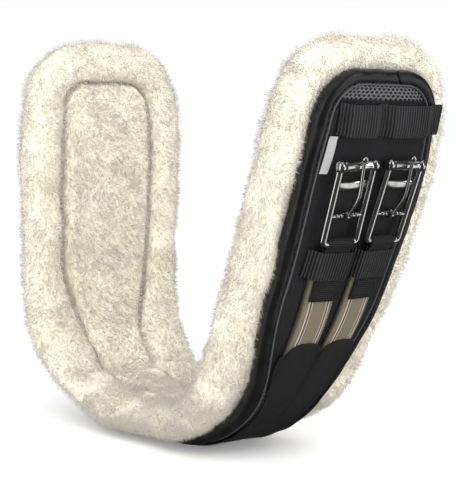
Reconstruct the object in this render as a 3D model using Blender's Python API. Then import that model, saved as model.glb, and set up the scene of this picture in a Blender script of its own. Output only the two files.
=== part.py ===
"""Saddle girth: a padded, fleece-lined strap bent in a U, with two sprung roller buckles at each end.

Every soft piece is drawn flat, as it is cut and sewn on a bench, and is then laid on the girth's line:
s runs along the girth from the left end, y across it, and h outwards from the seam between shell and fleece.
The U stands in the XZ plane on its belly, +Z up. The front edge is -Y.
"""
import math

import bmesh
import bpy
import numpy as np
from mathutils import Matrix, Vector

# ---- The girth's line: share of the length, heading in degrees (0 runs along +X, 90 goes up) ----
GIRTH_LENGTH = 0.860
HEADINGS = ((0.0, -90.0), (0.21, -94.0), (0.462, 0.0), (0.536, 0.0), (0.70, 61.0), (0.85, 66.5), (1.0, 77.5))
ORIGIN_X = 0.0335
LINE_STEP = 0.001
STATION_STEP = 0.017
CROSS_CUTS = (-0.044, -0.024, 0.0, 0.024, 0.044)

# ---- Half widths of the shell and of the fleece round it, by distance from the nearer end ----
SHELL_WIDTHS = ((0.0, 0.0580), (0.085, 0.0637), (0.18, 0.0605), (0.31, 0.0400), (0.43, 0.0385))
FLEECE_WIDTHS = ((0.0, 0.0820), (0.085, 0.0873), (0.25, 0.0835), (0.43, 0.0695))
CORNER_RADIUS = 0.038
WAIST_FROM = 0.18
WAIST_TO = 0.31

# ---- Layers, as heights above the seam ----
GAP = 0.0003
LAYER_GAP = 0.0008
CORE_TOP = 0.0080
MESH_THICKNESS = 0.0013
PATCH_THICKNESS = 0.0008
WEBBING_THICKNESS = 0.0015
ELASTIC_THICKNESS = 0.0030
COVER_THICKNESS = 0.0012
CROWN = 0.0050
CROWN_RUN_OUT = 0.045

# ---- Edge binding ----
BINDING_WIDTH = 0.011
BINDING_SKIN = 0.0015
BINDING_TOP = 0.0126

# ---- Fleece ----
FLEECE_PANEL_DEPTH = 0.0230
PANEL_INSET = 0.0062
ROLL_CENTRE = 0.0090
ROLL_HALF_WIDTH = 0.0146
ROLL_DEPTH = 0.0145
ROLL_HALF_DEPTH = 0.0165
FLEECE_SQUEEZE = 0.24

# ---- Outer fittings, as distances from the girth's end ----
GUIDE_FROM = 0.0235
GUIDE_TO = 0.0475
GUIDE_CLEARANCE = 0.0070
PATCH_FROM = 0.021
PATCH_TO = 0.272
LABEL_FROM = 0.0485
LABEL_TO = 0.0775
BOTTOM_BAR_AT = 0.131
KEEPER_FROM = 0.139
KEEPER_TO = 0.163
ELASTIC_FROM = 0.150
TAB_TO = 0.183
COVER_FROM = 0.236
COVER_END_HALF = 0.0385
COVER_BELLY_HALF = 0.0265
BELLY_PATCH_SHIFT = 0.003
BELLY_PATCH_HALF_LENGTH = 0.026
BELLY_PATCH_THICKNESS = 0.0015
BELLY_PATCH_HALF_WIDTH = 0.0255

# ---- Straps and buckles ----
STRAP_SPREAD = 0.0185
STRAP_SPLAY = 0.040
STRAP_OFFSET = 0.0025
ELASTIC_WIDTH = 0.032
TAB_WIDTH = 0.0255
LOAD_WEB_WIDTH = 0.026
LOAD_WEB_SHIFT = 0.005
BAR_HEIGHT = 0.0175
FRAME_WIDTH = 0.0395
BAR_RADIUS = 0.0029
ROLLER_ABOVE_BAR = 0.064
PLATE_ABOVE_BAR = 0.047
PIVOT_ABOVE_BAR = 0.023
PIN_RADIUS = 0.00175
ROLLER_RADIUS = 0.0042
ROLLER_WIDTH = 0.0270
BORE_RADIUS = 0.0021
EAR_RADIUS = 0.0047
EAR_WIDTH = 0.0060
TONGUE_RADIUS = 0.0020
TONGUE_HUB_RADIUS = 0.0039
TONGUE_HUB_WIDTH = 0.0050
ROUND_SIDES = 12

# ---- Materials: colour, roughness, metallic ----
FLEECE_CREAM = ("fleece_cream", (0.72, 0.66, 0.50, 1.0), 0.95, 0.0)
FOAM_GREY = ("foam_grey", (0.12, 0.12, 0.12, 1.0), 0.9, 0.0)
MESH_GREY = ("air_mesh_grey", (0.07, 0.07, 0.075, 1.0), 0.85, 0.0)
LEATHER_BLACK = ("binding_black", (0.018, 0.018, 0.020, 1.0), 0.45, 0.0)
NYLON_BLACK = ("nylon_black", (0.012, 0.012, 0.014, 1.0), 0.75, 0.0)
WEBBING_BLACK = ("webbing_black", (0.018, 0.018, 0.019, 1.0), 0.7, 0.0)
ELASTIC_OLIVE = ("elastic_olive", (0.16, 0.14, 0.085, 1.0), 0.8, 0.0)
LABEL_SILVER = ("label_silver", (0.30, 0.30, 0.29, 1.0), 0.4, 0.0)
STEEL = ("stainless_steel", (0.62, 0.61, 0.60, 1.0), 0.18, 1.0)


def smooth_step(value):
    value = min(1.0, max(0.0, value))
    return value * value * (3.0 - 2.0 * value)


# ---- The girth's line ----

def build_line():
    """Walk the headings in short steps; return arc length, x, z and heading."""
    count = int(round(GIRTH_LENGTH / LINE_STEP)) + 1
    s = np.linspace(0.0, GIRTH_LENGTH, count)
    shares = [share * GIRTH_LENGTH for share, _ in HEADINGS]
    angles = [math.radians(angle) for _, angle in HEADINGS]
    heading = np.interp(s, shares, angles)
    middle = (heading[1:] + heading[:-1]) / 2
    x = np.concatenate([[0.0], np.cumsum(np.cos(middle) * LINE_STEP)])
    z = np.concatenate([[0.0], np.cumsum(np.sin(middle) * LINE_STEP)])
    x -= np.interp(GIRTH_LENGTH / 2, s, x) + ORIGIN_X
    z -= z.min()
    return s, x, z, heading


LINE_S, LINE_X, LINE_Z, LINE_HEADING = build_line()
PATCH_TOP = CORE_TOP + MESH_THICKNESS + PATCH_THICKNESS + 2 * LAYER_GAP
STRAP_BASE = PATCH_TOP + GAP
COVER_BASE = STRAP_BASE + WEBBING_THICKNESS + GAP
BELLY_PATCH_BASE = COVER_BASE + COVER_THICKNESS + GAP
FLOOR_HEIGHT = BELLY_PATCH_BASE + BELLY_PATCH_THICKNESS


def from_end(s):
    """Distance along the girth from its nearer end."""
    return min(s, GIRTH_LENGTH - s)


def width_at(s, table):
    """Half width from a table of distances, with a smooth run between its entries."""
    d = max(0.0, from_end(s))
    for (d0, w0), (d1, w1) in zip(table, table[1:]):
        if d <= d1:
            return w0 + (w1 - w0) * (1.0 - math.cos(math.pi * (d - d0) / (d1 - d0))) / 2
    return table[-1][1]


def half_width(s):
    """Half width of the shell."""
    return width_at(s, SHELL_WIDTHS)


def waist(s):
    """0 on the legs, 1 on the narrow belly."""
    return smooth_step((from_end(s) - WAIST_FROM) / (WAIST_TO - WAIST_FROM))


def crown(s, y):
    """How far the padded shell stands proud at its middle."""
    across = min(1.0, abs(y) / half_width(s))
    run_out = smooth_step(from_end(s) / CROWN_RUN_OUT)
    return CROWN * (1.0 - across ** 2.2) * run_out * (1.0 - waist(s))


def on_girth(s, y, h):
    """World place of a point drawn flat at (s, y, h)."""
    beyond = s - min(GIRTH_LENGTH, max(0.0, s))
    heading = float(np.interp(s, LINE_S, LINE_HEADING))
    x = float(np.interp(s, LINE_S, LINE_X)) + math.cos(heading) * beyond
    z = float(np.interp(s, LINE_S, LINE_Z)) + math.sin(heading) * beyond
    if h > 0.0:
        h += crown(s, y) * min(1.0, h / CORE_TOP)
    else:
        h *= 1.0 - FLEECE_SQUEEZE * waist(s)
    return Vector((x + math.sin(heading) * h, y, z - math.cos(heading) * h + FLOOR_HEIGHT))


def outward(s):
    heading = float(np.interp(s, LINE_S, LINE_HEADING))
    return Vector((math.sin(heading), 0.0, -math.cos(heading)))


def lay_on_girth(bm):
    for vert in bm.verts:
        vert.co = on_girth(*vert.co)
    bm.normal_update()


# ---- Scene helpers ----

def clear_scene():
    for item in list(bpy.data.objects):
        bpy.data.objects.remove(item, do_unlink=True)


def new_collection(name):
    collection = bpy.data.collections.new(name)
    bpy.context.scene.collection.children.link(collection)
    return collection


def material(finish):
    name, colour, roughness, metallic = finish
    found = bpy.data.materials.get(name)
    if found:
        return found
    made = bpy.data.materials.new(name)
    made.use_nodes = True
    shader = made.node_tree.nodes["Principled BSDF"]
    shader.inputs["Base Color"].default_value = colour
    shader.inputs["Roughness"].default_value = roughness
    shader.inputs["Metallic"].default_value = metallic
    return made


def finish_object(name, bm, finish, collection, parent=None):
    """Turn a bmesh into a named object, with its faces pointing out."""
    bmesh.ops.recalc_face_normals(bm, faces=bm.faces)
    mesh = bpy.data.meshes.new(name)
    bm.to_mesh(mesh)
    bm.free()
    mesh.materials.append(material(finish))
    mesh.shade_smooth()
    mesh.set_sharp_from_angle(angle=math.radians(35))
    item = bpy.data.objects.new(name, mesh)
    collection.objects.link(item)
    if parent:
        mesh.transform(parent.matrix_world.inverted())
        item.parent = parent
    return item


# ---- Flat shapes ----

def side_stations(start, stop):
    """Points along the girth from start to stop, on the stations that every layer shares."""
    middle = GIRTH_LENGTH / 2
    reach = int(middle / STATION_STEP) + 2
    shared = [middle + k * STATION_STEP for k in range(-reach, reach + 1)]
    low, high = min(start, stop), max(start, stop)
    inside = [s for s in shared if low + STATION_STEP / 4 < s < high - STATION_STEP / 4]
    run = [low] + inside + [high]
    return run if start < stop else run[::-1]


def edge_at(s, offset):
    """Half width of an outline drawn at an offset from the shell's edge, spread to the fleece's width."""
    spread = 1.0
    if offset > 0.0:
        spread = (width_at(s, FLEECE_WIDTHS) - half_width(s)) / (ROLL_CENTRE + ROLL_HALF_WIDTH)
    return half_width(s) + offset * spread


def girth_outline(offset, corner_points=6):
    """Closed outline round the whole girth at an offset from the shell's edge."""
    quarter = []
    for k in range(corner_points):
        angle = math.pi / 2 * k / corner_points
        reach = CORNER_RADIUS + offset
        centre_y = half_width(CORNER_RADIUS) - CORNER_RADIUS
        quarter.append((CORNER_RADIUS - reach * math.cos(angle), centre_y + reach * math.sin(angle)))
    upper = quarter[:]
    for s in side_stations(CORNER_RADIUS, GIRTH_LENGTH - CORNER_RADIUS):
        upper.append((s, edge_at(s, offset)))
    upper += [(GIRTH_LENGTH - s, y) for s, y in reversed(quarter)]
    return upper + [(s, -y) for s, y in reversed(upper)]


def slab(outline, low, high, round_over=0.0, crowned=True):
    """A flat outline made a plate from height low to high, cut for bending and laid on the girth."""
    bm = bmesh.new()
    face = bm.faces.new([bm.verts.new((s, y, low)) for s, y in outline])
    raised = bmesh.ops.extrude_face_region(bm, geom=[face])
    top = [item for item in raised["geom"] if isinstance(item, bmesh.types.BMVert)]
    bmesh.ops.translate(bm, verts=top, vec=(0, 0, high - low))
    bmesh.ops.recalc_face_normals(bm, faces=bm.faces)
    if round_over:
        far = high if abs(high) > abs(low) else low
        rim = [e for e in bm.edges if all(abs(v.co.z - far) < 1e-6 for v in e.verts)]
        bmesh.ops.bevel(bm, geom=rim, offset=round_over, segments=2, profile=0.5, affect="EDGES")
    low_s = min(s for s, _ in outline)
    high_s = max(s for s, _ in outline)
    for s in side_stations(low_s, high_s)[1:-1]:
        cut_plane(bm, (s, 0, 0), (1, 0, 0))
    for y in CROSS_CUTS if crowned else ():
        cut_plane(bm, (0, y, 0), (0, 1, 0))
    lay_on_girth(bm)
    return bm


def cut_plane(bm, point, normal):
    everything = bm.verts[:] + bm.edges[:] + bm.faces[:]
    bmesh.ops.bisect_plane(bm, geom=everything, plane_co=point, plane_no=normal, dist=1e-6)


def edge_ring(profile):
    """A closed section of (offset, height) points carried round the girth's outline."""
    bm = bmesh.new()
    loops = [[bm.verts.new((s, y, height)) for s, y in girth_outline(offset)] for offset, height in profile]
    for first, second in zip(loops, loops[1:] + loops[:1]):
        for k in range(len(first)):
            bm.faces.new((first[k - 1], first[k], second[k], second[k - 1]))
    lay_on_girth(bm)
    return bm


# ---- The padded body ----

def make_padded_body(collection):
    inner = -(BINDING_SKIN + GAP)
    core = slab(girth_outline(inner), GAP, CORE_TOP)
    finish_object("foam_core", core, FOAM_GREY, collection)
    base = CORE_TOP + LAYER_GAP
    mesh = slab(girth_outline(inner), base, base + MESH_THICKNESS)
    finish_object("mesh_shell", mesh, MESH_GREY, collection)

    lip_under = BINDING_TOP - BINDING_SKIN
    section = (
        (-BINDING_WIDTH, BINDING_TOP), (-0.002, BINDING_TOP), (0.0, BINDING_TOP - 0.002), (0.0, GAP),
        (-BINDING_SKIN, GAP), (-BINDING_SKIN, lip_under), (-BINDING_WIDTH, lip_under))
    finish_object("edge_binding", edge_ring(section), LEATHER_BLACK, collection)

    panel = slab(girth_outline(-PANEL_INSET), -GAP, -FLEECE_PANEL_DEPTH, round_over=0.006, crowned=False)
    finish_object("fleece_panel", panel, FLEECE_CREAM, collection)
    roll = []
    for k in range(ROUND_SIDES):
        angle = 2 * math.pi * k / ROUND_SIDES
        offset = ROLL_CENTRE + ROLL_HALF_WIDTH * math.cos(angle)
        roll.append((offset, -ROLL_DEPTH + ROLL_HALF_DEPTH * math.sin(angle)))
    finish_object("fleece_edge_roll", edge_ring(roll), FLEECE_CREAM, collection)


# ---- Webbing and panels on the outer face ----

def along(end, d):
    """Arc length of a point at distance d from the named end."""
    return GIRTH_LENGTH - d if end == "right" else d


def strap_y(row, d):
    """Middle line of a strap; the pair splays apart towards the girth's end."""
    side = -1.0 if row == "front" else 1.0
    return STRAP_OFFSET + side * (STRAP_SPREAD + STRAP_SPLAY * (COVER_FROM - d))


def strap_outline(end, row, start, stop, width):
    """Outline of a strap that follows its middle line from distance start to stop."""
    stations = side_stations(along(end, start), along(end, stop))
    one = [(s, strap_y(row, from_end(s)) - width / 2) for s in stations]
    other = [(s, strap_y(row, from_end(s)) + width / 2) for s in reversed(stations)]
    return one + other


def cross_band(end, start, stop, path, thickness):
    """A band of webbing that runs across the girth over the (y, height) points of its path."""
    lower = [(y, h) for y, h in path]
    upper = [(y, h + thickness) for y, h in reversed(path)]
    bm = bmesh.new()
    face = bm.faces.new([bm.verts.new((along(end, start), y, h)) for y, h in lower + upper])
    raised = bmesh.ops.extrude_face_region(bm, geom=[face])
    moved = [item for item in raised["geom"] if isinstance(item, bmesh.types.BMVert)]
    bmesh.ops.translate(bm, verts=moved, vec=(along(end, stop) - along(end, start), 0, 0))
    for s in side_stations(along(end, start), along(end, stop))[1:-1]:
        cut_plane(bm, (s, 0, 0), (1, 0, 0))
    for y in CROSS_CUTS:
        cut_plane(bm, (0, y, 0), (0, 1, 0))
    lay_on_girth(bm)
    return bm


def make_end_fittings(end, collection):
    inset = BINDING_WIDTH + 0.0005
    stations = side_stations(along(end, PATCH_FROM), along(end, PATCH_TO))
    one = [(s, -patch_half_width(s, inset)) for s in stations]
    other = [(s, patch_half_width(s, inset)) for s in reversed(stations)]
    patch = slab(one + other, PATCH_TOP - PATCH_THICKNESS, PATCH_TOP)
    finish_object(end + "_wear_patch", patch, NYLON_BLACK, collection)

    raised = PATCH_TOP + GUIDE_CLEARANCE
    low = STRAP_BASE + GAP
    over_edge = BINDING_TOP + 2 * GAP
    guide = (
        (-0.0445, low), (-0.0415, low), (-0.037, raised), (-0.012, raised), (-0.005, low), (0.000, low),
        (0.007, raised), (0.044, raised), (0.053, over_edge), (0.0625, over_edge))
    band = cross_band(end, GUIDE_FROM, GUIDE_TO, guide, WEBBING_THICKNESS)
    finish_object(end + "_billet_guide", band, WEBBING_BLACK, collection)

    clear = STRAP_BASE + ELASTIC_THICKNESS + GAP + 0.0025 + 0.0009
    for row in ("front", "rear"):
        middle = strap_y(row, (KEEPER_FROM + KEEPER_TO) / 2)
        side = -1.0 if row == "front" else 1.0
        reach = ELASTIC_WIDTH / 2 + 0.0015
        outer = middle + side * reach
        inner = middle - side * reach
        keeper = (
            (outer + side * 0.0070, low), (outer + side * 0.0040, low), (outer, clear - 0.002),
            (outer - side * 0.003, clear), (inner + side * 0.003, clear), (inner, clear - 0.002),
            (inner - side * 0.0018, low), (inner - side * 0.0042, low))
        keeper = tuple(sorted(keeper))
        band = cross_band(end, KEEPER_FROM, KEEPER_TO, keeper, WEBBING_THICKNESS)
        finish_object("%s_%s_keeper" % (end, row), band, WEBBING_BLACK, collection)


def patch_half_width(s, inset):
    """The wear patch reaches the binding, and rounds off with the girth's end."""
    into_corner = CORNER_RADIUS - from_end(s)
    if into_corner <= 0.0:
        return half_width(s) - inset
    reach = CORNER_RADIUS - inset
    centre_y = half_width(CORNER_RADIUS) - CORNER_RADIUS
    return centre_y + math.sqrt(max(0.0, reach ** 2 - into_corner ** 2))


def make_label(collection):
    """Blank satin care label, sewn in beside the front buckle of the right end."""
    corners = ((LABEL_FROM, -0.0500), (LABEL_FROM, -0.0430), (LABEL_TO, -0.0455), (LABEL_TO, -0.0525))
    outline = [(along("right", d), y) for d, y in corners]
    label = slab(outline, STRAP_BASE, STRAP_BASE + 0.0006)
    finish_object("right_label", label, LABEL_SILVER, collection)


def make_belly(collection):
    """The webs that join the elastics of both ends, the cover over them and the patch that it rests on."""
    start = COVER_FROM
    stop = GIRTH_LENGTH - COVER_FROM
    for row in ("front", "rear"):
        side = -1.0 if row == "front" else 1.0
        outline = []
        for edge in (-1, 1):
            run = [(s, load_web_y(side, s) + edge * LOAD_WEB_WIDTH / 2) for s in side_stations(start, stop)]
            outline += run if edge < 0 else run[::-1]
        web = slab(outline, STRAP_BASE, STRAP_BASE + WEBBING_THICKNESS)
        finish_object(row + "_load_web", web, WEBBING_BLACK, collection)

    stations = side_stations(start, stop)
    one = [(s, -cover_half_width(s)) for s in stations]
    other = [(s, cover_half_width(s)) for s in reversed(stations)]
    cover = slab(one + other, COVER_BASE, COVER_BASE + COVER_THICKNESS)
    finish_object("centre_cover", cover, NYLON_BLACK, collection)

    middle = GIRTH_LENGTH / 2 + BELLY_PATCH_SHIFT
    corners = ((-1, -1), (1, -1), (1, 1), (-1, 1))
    outline = [(middle + i * BELLY_PATCH_HALF_LENGTH, j * BELLY_PATCH_HALF_WIDTH) for i, j in corners]
    patch = slab(outline, BELLY_PATCH_BASE, FLOOR_HEIGHT)
    finish_object("belly_patch", patch, LEATHER_BLACK, collection)


def load_web_y(side, s):
    """Middle line of a load web: under its elastics at the ends, and inside the binding at the belly."""
    return STRAP_OFFSET * (1.0 - waist(s)) + side * (STRAP_SPREAD - LOAD_WEB_SHIFT * waist(s))


def cover_half_width(s):
    """The cover is as wide as the pair of straps at its ends and clears the binding at the belly."""
    narrowing = smooth_step((from_end(s) - COVER_FROM) / (WAIST_TO - COVER_FROM))
    return COVER_END_HALF + (COVER_BELLY_HALF - COVER_END_HALF) * narrowing


# ---- Buckles ----

def local_frame(origin, towards, out):
    """Matrix with its Y axis towards a point, Z outwards and X across."""
    y_axis = (towards - origin).normalized()
    x_axis = y_axis.cross(out).normalized()
    z_axis = x_axis.cross(y_axis)
    matrix = Matrix((x_axis, y_axis, z_axis)).transposed().to_4x4()
    matrix.translation = origin
    return matrix


def bar(length, radius, centre=(0, 0, 0), sides=ROUND_SIDES):
    """A round bar along X, as a bmesh."""
    bm = bmesh.new()
    turn = Matrix.Translation(centre) @ Matrix.Rotation(math.pi / 2, 4, "Y")
    bmesh.ops.create_cone(bm, cap_ends=True, segments=sides, radius1=radius, radius2=radius,
                          depth=length, matrix=turn)
    return bm


def block(size, centre):
    bm = bmesh.new()
    matrix = Matrix.Translation(centre) @ Matrix.Diagonal((*size, 1.0))
    bmesh.ops.create_cube(bm, size=1.0, matrix=matrix)
    return bm


def wire(name, points, radius, collection, cyclic=False):
    """A bent round bar: a curve with a bevel, made a mesh with its caps welded."""
    curve = bpy.data.curves.new(name, "CURVE")
    curve.dimensions = "3D"
    curve.bevel_depth = radius
    curve.bevel_resolution = 2
    curve.use_fill_caps = not cyclic
    spline = curve.splines.new("POLY")
    spline.points.add(len(points) - 1)
    for point, place in zip(spline.points, points):
        point.co = (*place, 1.0)
    spline.use_cyclic_u = cyclic
    holder = bpy.data.objects.new(name + "_curve", curve)
    collection.objects.link(holder)
    bpy.context.view_layer.update()
    evaluated = holder.evaluated_get(bpy.context.evaluated_depsgraph_get())
    mesh = bpy.data.meshes.new_from_object(evaluated)
    bpy.data.objects.remove(holder, do_unlink=True)
    bpy.data.curves.remove(curve)
    bm = bmesh.new()
    bm.from_mesh(mesh)
    bpy.data.meshes.remove(mesh)
    bmesh.ops.remove_doubles(bm, verts=bm.verts, dist=0.00005)
    return bm


def place_local(name, bm, finish, collection, parent, location=(0, 0, 0)):
    """A rigid piece drawn about its own origin and parented to an empty."""
    item = finish_object(name, bm, finish, collection)
    item.parent = parent
    item.location = location
    return item


def combine(item, bm, operation, cutters):
    """Join a bmesh to an object, or cut it away, with an exact Boolean."""
    mesh = bpy.data.meshes.new(item.name + "_tool")
    bmesh.ops.recalc_face_normals(bm, faces=bm.faces)
    bm.to_mesh(mesh)
    bm.free()
    tool = bpy.data.objects.new(item.name + "_tool", mesh)
    tool.hide_render = True
    tool.display_type = "WIRE"
    tool.parent = item.parent
    tool.location = item.location
    cutters.objects.link(tool)
    step = item.modifiers.new(operation.lower(), "BOOLEAN")
    step.operation = operation
    step.solver = "EXACT"
    step.object = tool


def rounded_u(half, height, radius, steps=4):
    """Points down one side bar, round two corners and up the other."""
    points = [(-half, height, 0.0)]
    for k in range(steps + 1):
        angle = math.pi + math.pi / 2 * k / steps
        points.append((-half + radius + radius * math.cos(angle), radius + radius * math.sin(angle), 0.0))
    return points + [(-x, y, z) for x, y, z in reversed(points)]


def make_buckle(end, row, collection, cutters):
    """One strap end: webbing tab, buckle frame on its bottom bar, roller and tongue."""
    stem = "%s_%s" % (end, row)
    bar_y = strap_y(row, BOTTOM_BAR_AT)
    roller_d = BOTTOM_BAR_AT - ROLLER_ABOVE_BAR
    bar_point = on_girth(along(end, BOTTOM_BAR_AT), bar_y, BAR_HEIGHT)
    roller_point = on_girth(along(end, roller_d), strap_y(row, roller_d), BAR_HEIGHT + 0.0006)
    hinge = bpy.data.objects.new(stem + "_hinge", None)
    hinge.matrix_world = local_frame(bar_point, roller_point, outward(along(end, BOTTOM_BAR_AT)))
    collection.objects.link(hinge)
    bpy.context.view_layer.update()

    half = FRAME_WIDTH / 2 - BAR_RADIUS
    body = wire(stem, rounded_u(half, ROLLER_ABOVE_BAR, 0.0030), BAR_RADIUS, collection)
    frame = place_local(stem + "_buckle_frame", body, STEEL, collection, hinge)
    inside = 2 * half
    combine(frame, bar(inside, PIN_RADIUS, (0, ROLLER_ABOVE_BAR, 0)), "UNION", cutters)
    combine(frame, bar(inside, PIN_RADIUS, (0, PIVOT_ABOVE_BAR, 0)), "UNION", cutters)
    combine(frame, block((inside, 0.0050, 0.0020), (0, PLATE_ABOVE_BAR, -0.0012)), "UNION", cutters)
    for side in (-1, 1):
        ear = bar(EAR_WIDTH, EAR_RADIUS, (side * half, ROLLER_ABOVE_BAR, 0))
        combine(frame, ear, "UNION", cutters)

    roller = place_local(stem + "_roller", bar(ROLLER_WIDTH, ROLLER_RADIUS), STEEL, collection, hinge,
                         (0, ROLLER_ABOVE_BAR, 0))
    combine(roller, bar(ROLLER_WIDTH + 0.004, BORE_RADIUS), "DIFFERENCE", cutters)

    over_roller = ROLLER_RADIUS + GAP + TONGUE_RADIUS + 0.0002
    reach = ROLLER_ABOVE_BAR - PIVOT_ABOVE_BAR
    shank = ((0, 0.0015, 0.0028), (0, 0.0080, 0.0052), (0, 0.0145, 0.0082), (0, 0.0190, 0.0090),
             (0, 0.0300, over_roller + 0.0010), (0, reach, over_roller), (0, reach + 0.0075, over_roller - 0.0004))
    tongue = place_local(stem + "_tongue", wire(stem, shank, TONGUE_RADIUS, collection), STEEL, collection,
                         hinge, (0, PIVOT_ABOVE_BAR, 0))
    combine(tongue, bar(TONGUE_HUB_WIDTH, TONGUE_HUB_RADIUS), "UNION", cutters)
    combine(tongue, bar(TONGUE_HUB_WIDTH + 0.004, BORE_RADIUS), "DIFFERENCE", cutters)

    make_tab(stem, end, row, hinge, collection, cutters)


def make_tab(stem, end, row, hinge, collection, cutters):
    """The webbing tab: a loop round the bottom bar and a doubled tail sewn on the elastic."""
    tail_base = STRAP_BASE + ELASTIC_THICKNESS + GAP
    start = BOTTOM_BAR_AT + 0.0036
    outline = strap_outline(end, row, start, TAB_TO, TAB_WIDTH)
    tail = slab(outline, tail_base, tail_base + 0.0025)
    tab = finish_object(stem + "_tab", tail, WEBBING_BLACK, collection, parent=hinge)
    loop_bore = BAR_RADIUS + GAP + 0.0001
    combine(tab, bar(TAB_WIDTH, loop_bore + WEBBING_THICKNESS), "UNION", cutters)
    combine(tab, bar(TAB_WIDTH + 0.004, loop_bore), "DIFFERENCE", cutters)

    outline = strap_outline(end, row, ELASTIC_FROM, COVER_FROM - GAP, ELASTIC_WIDTH)
    elastic = slab(outline, STRAP_BASE, STRAP_BASE + ELASTIC_THICKNESS)
    finish_object(stem + "_elastic", elastic, ELASTIC_OLIVE, collection)


def main():
    clear_scene()
    collection = new_collection("saddle_girth")
    cutters = new_collection("cutters")
    make_padded_body(collection)
    make_belly(collection)
    make_label(collection)
    for end in ("left", "right"):
        make_end_fittings(end, collection)
        for row in ("front", "rear"):
            make_buckle(end, row, collection, cutters)


main()
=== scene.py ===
"""Looks of a fleece-lined saddle girth, bent in a U and standing on its belly.

Soft pieces are drawn flat, as they are cut: s runs along the girth, y across it and h outwards from the
seam between shell and fleece. They are then laid on the girth's line. Buckle pieces are drawn about the
bottom bar of their buckle: X across, Y towards the roller, Z outwards.
"""
import math

import bmesh
import bpy
import numpy as np
from mathutils import Matrix, Vector, noise


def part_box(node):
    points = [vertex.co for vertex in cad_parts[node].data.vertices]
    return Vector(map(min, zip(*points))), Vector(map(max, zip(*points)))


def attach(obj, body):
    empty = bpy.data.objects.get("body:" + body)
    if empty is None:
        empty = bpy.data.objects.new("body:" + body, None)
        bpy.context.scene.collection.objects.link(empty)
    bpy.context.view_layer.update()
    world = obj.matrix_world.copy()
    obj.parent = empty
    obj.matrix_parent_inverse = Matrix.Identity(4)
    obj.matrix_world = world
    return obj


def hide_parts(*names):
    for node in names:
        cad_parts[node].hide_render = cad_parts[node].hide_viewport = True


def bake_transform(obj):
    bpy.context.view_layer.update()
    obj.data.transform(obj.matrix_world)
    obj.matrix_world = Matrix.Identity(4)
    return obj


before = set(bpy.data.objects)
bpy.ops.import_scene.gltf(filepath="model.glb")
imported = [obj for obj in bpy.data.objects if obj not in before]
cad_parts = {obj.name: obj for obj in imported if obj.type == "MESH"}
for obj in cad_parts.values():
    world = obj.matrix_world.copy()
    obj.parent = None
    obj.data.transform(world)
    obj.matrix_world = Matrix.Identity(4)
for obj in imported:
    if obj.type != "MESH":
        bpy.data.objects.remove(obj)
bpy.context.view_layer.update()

# ---- The girth's line and its layers, as the frame has them ----
GIRTH_LENGTH = 0.860
HEADINGS = ((0.0, -90.0), (0.21, -94.0), (0.462, 0.0), (0.536, 0.0), (0.70, 61.0), (0.85, 66.5), (1.0, 77.5))
ORIGIN_X = 0.0335
LINE_STEP = 0.001
SHELL_WIDTHS = ((0.0, 0.0580), (0.085, 0.0637), (0.18, 0.0605), (0.31, 0.0400), (0.43, 0.0385))
FLEECE_WIDTHS = ((0.0, 0.0820), (0.085, 0.0873), (0.25, 0.0835), (0.43, 0.0695))
CORNER_RADIUS = 0.038
WAIST_FROM = 0.18
WAIST_TO = 0.31
CROWN = 0.0050
CROWN_RUN_OUT = 0.045
CORE_TOP = 0.0080
MESH_TOP = 0.0101
PATCH_TOP = 0.0117
STRAP_BASE = 0.0120
COVER_BASE = 0.0138
FLOOR_HEIGHT = 0.0168
FLEECE_SQUEEZE = 0.24
ROLL_OUTER = 0.0236

# ---- Fittings, as distances from the girth's end ----
GUIDE = (0.0235, 0.0475)
PATCH = (0.021, 0.272)
LABEL = (0.0485, 0.0775)
KEEPER = (0.139, 0.163)
BOTTOM_BAR_AT = 0.131
ELASTIC_FROM = 0.150
TAB_TO = 0.183
COVER_FROM = 0.236
COVER_END_HALF = 0.0385
COVER_BELLY_HALF = 0.0265
STRAP_SPREAD = 0.0185
STRAP_SPLAY = 0.040
STRAP_OFFSET = 0.0025
ELASTIC_WIDTH = 0.032
TAB_WIDTH = 0.0255
BAR_HEIGHT = 0.0175
FRAME_WIDTH = 0.0395
BAR_RADIUS = 0.0029
ROLLER_ABOVE_BAR = 0.064
PLATE_ABOVE_BAR = 0.047
PIVOT_ABOVE_BAR = 0.023
ROLLER_RADIUS = 0.0042
ROLLER_WIDTH = 0.0270

# ---- What the fittings share ----
RIB_PITCH = 0.0026
ELASTIC_UNDERSIDE = STRAP_BASE + 0.0002
LOBE_REACH = 0.0125
LOBE_HALF = 0.0182
COVER_RISE_RUN = 0.034
COVER_RISE_LEAD = 0.012
THREAD_RADIUS = 0.00033
COPY_GAP = 4.0
CLOTH_FRAMES = 12

ENDS = ("left", "right")
ROWS = ("front", "rear")
# The noise of the pile would otherwise start from the clock.
noise.seed_set(1)


# ================= The girth's line =================

def build_line():
    stations = np.linspace(0.0, GIRTH_LENGTH, int(round(GIRTH_LENGTH / LINE_STEP)) + 1)
    shares = [share * GIRTH_LENGTH for share, _ in HEADINGS]
    heading = np.interp(stations, shares, [math.radians(angle) for _, angle in HEADINGS])
    middle = (heading[1:] + heading[:-1]) / 2
    x = np.concatenate([[0.0], np.cumsum(np.cos(middle) * LINE_STEP)])
    z = np.concatenate([[0.0], np.cumsum(np.sin(middle) * LINE_STEP)])
    x -= np.interp(GIRTH_LENGTH / 2, stations, x) + ORIGIN_X
    return stations, x, z - z.min(), heading


LINE_S, LINE_X, LINE_Z, LINE_HEADING = build_line()


def ease(value):
    value = np.clip(value, 0.0, 1.0)
    return value * value * (3.0 - 2.0 * value)


def from_end(s):
    return np.minimum(s, GIRTH_LENGTH - s)


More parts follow.
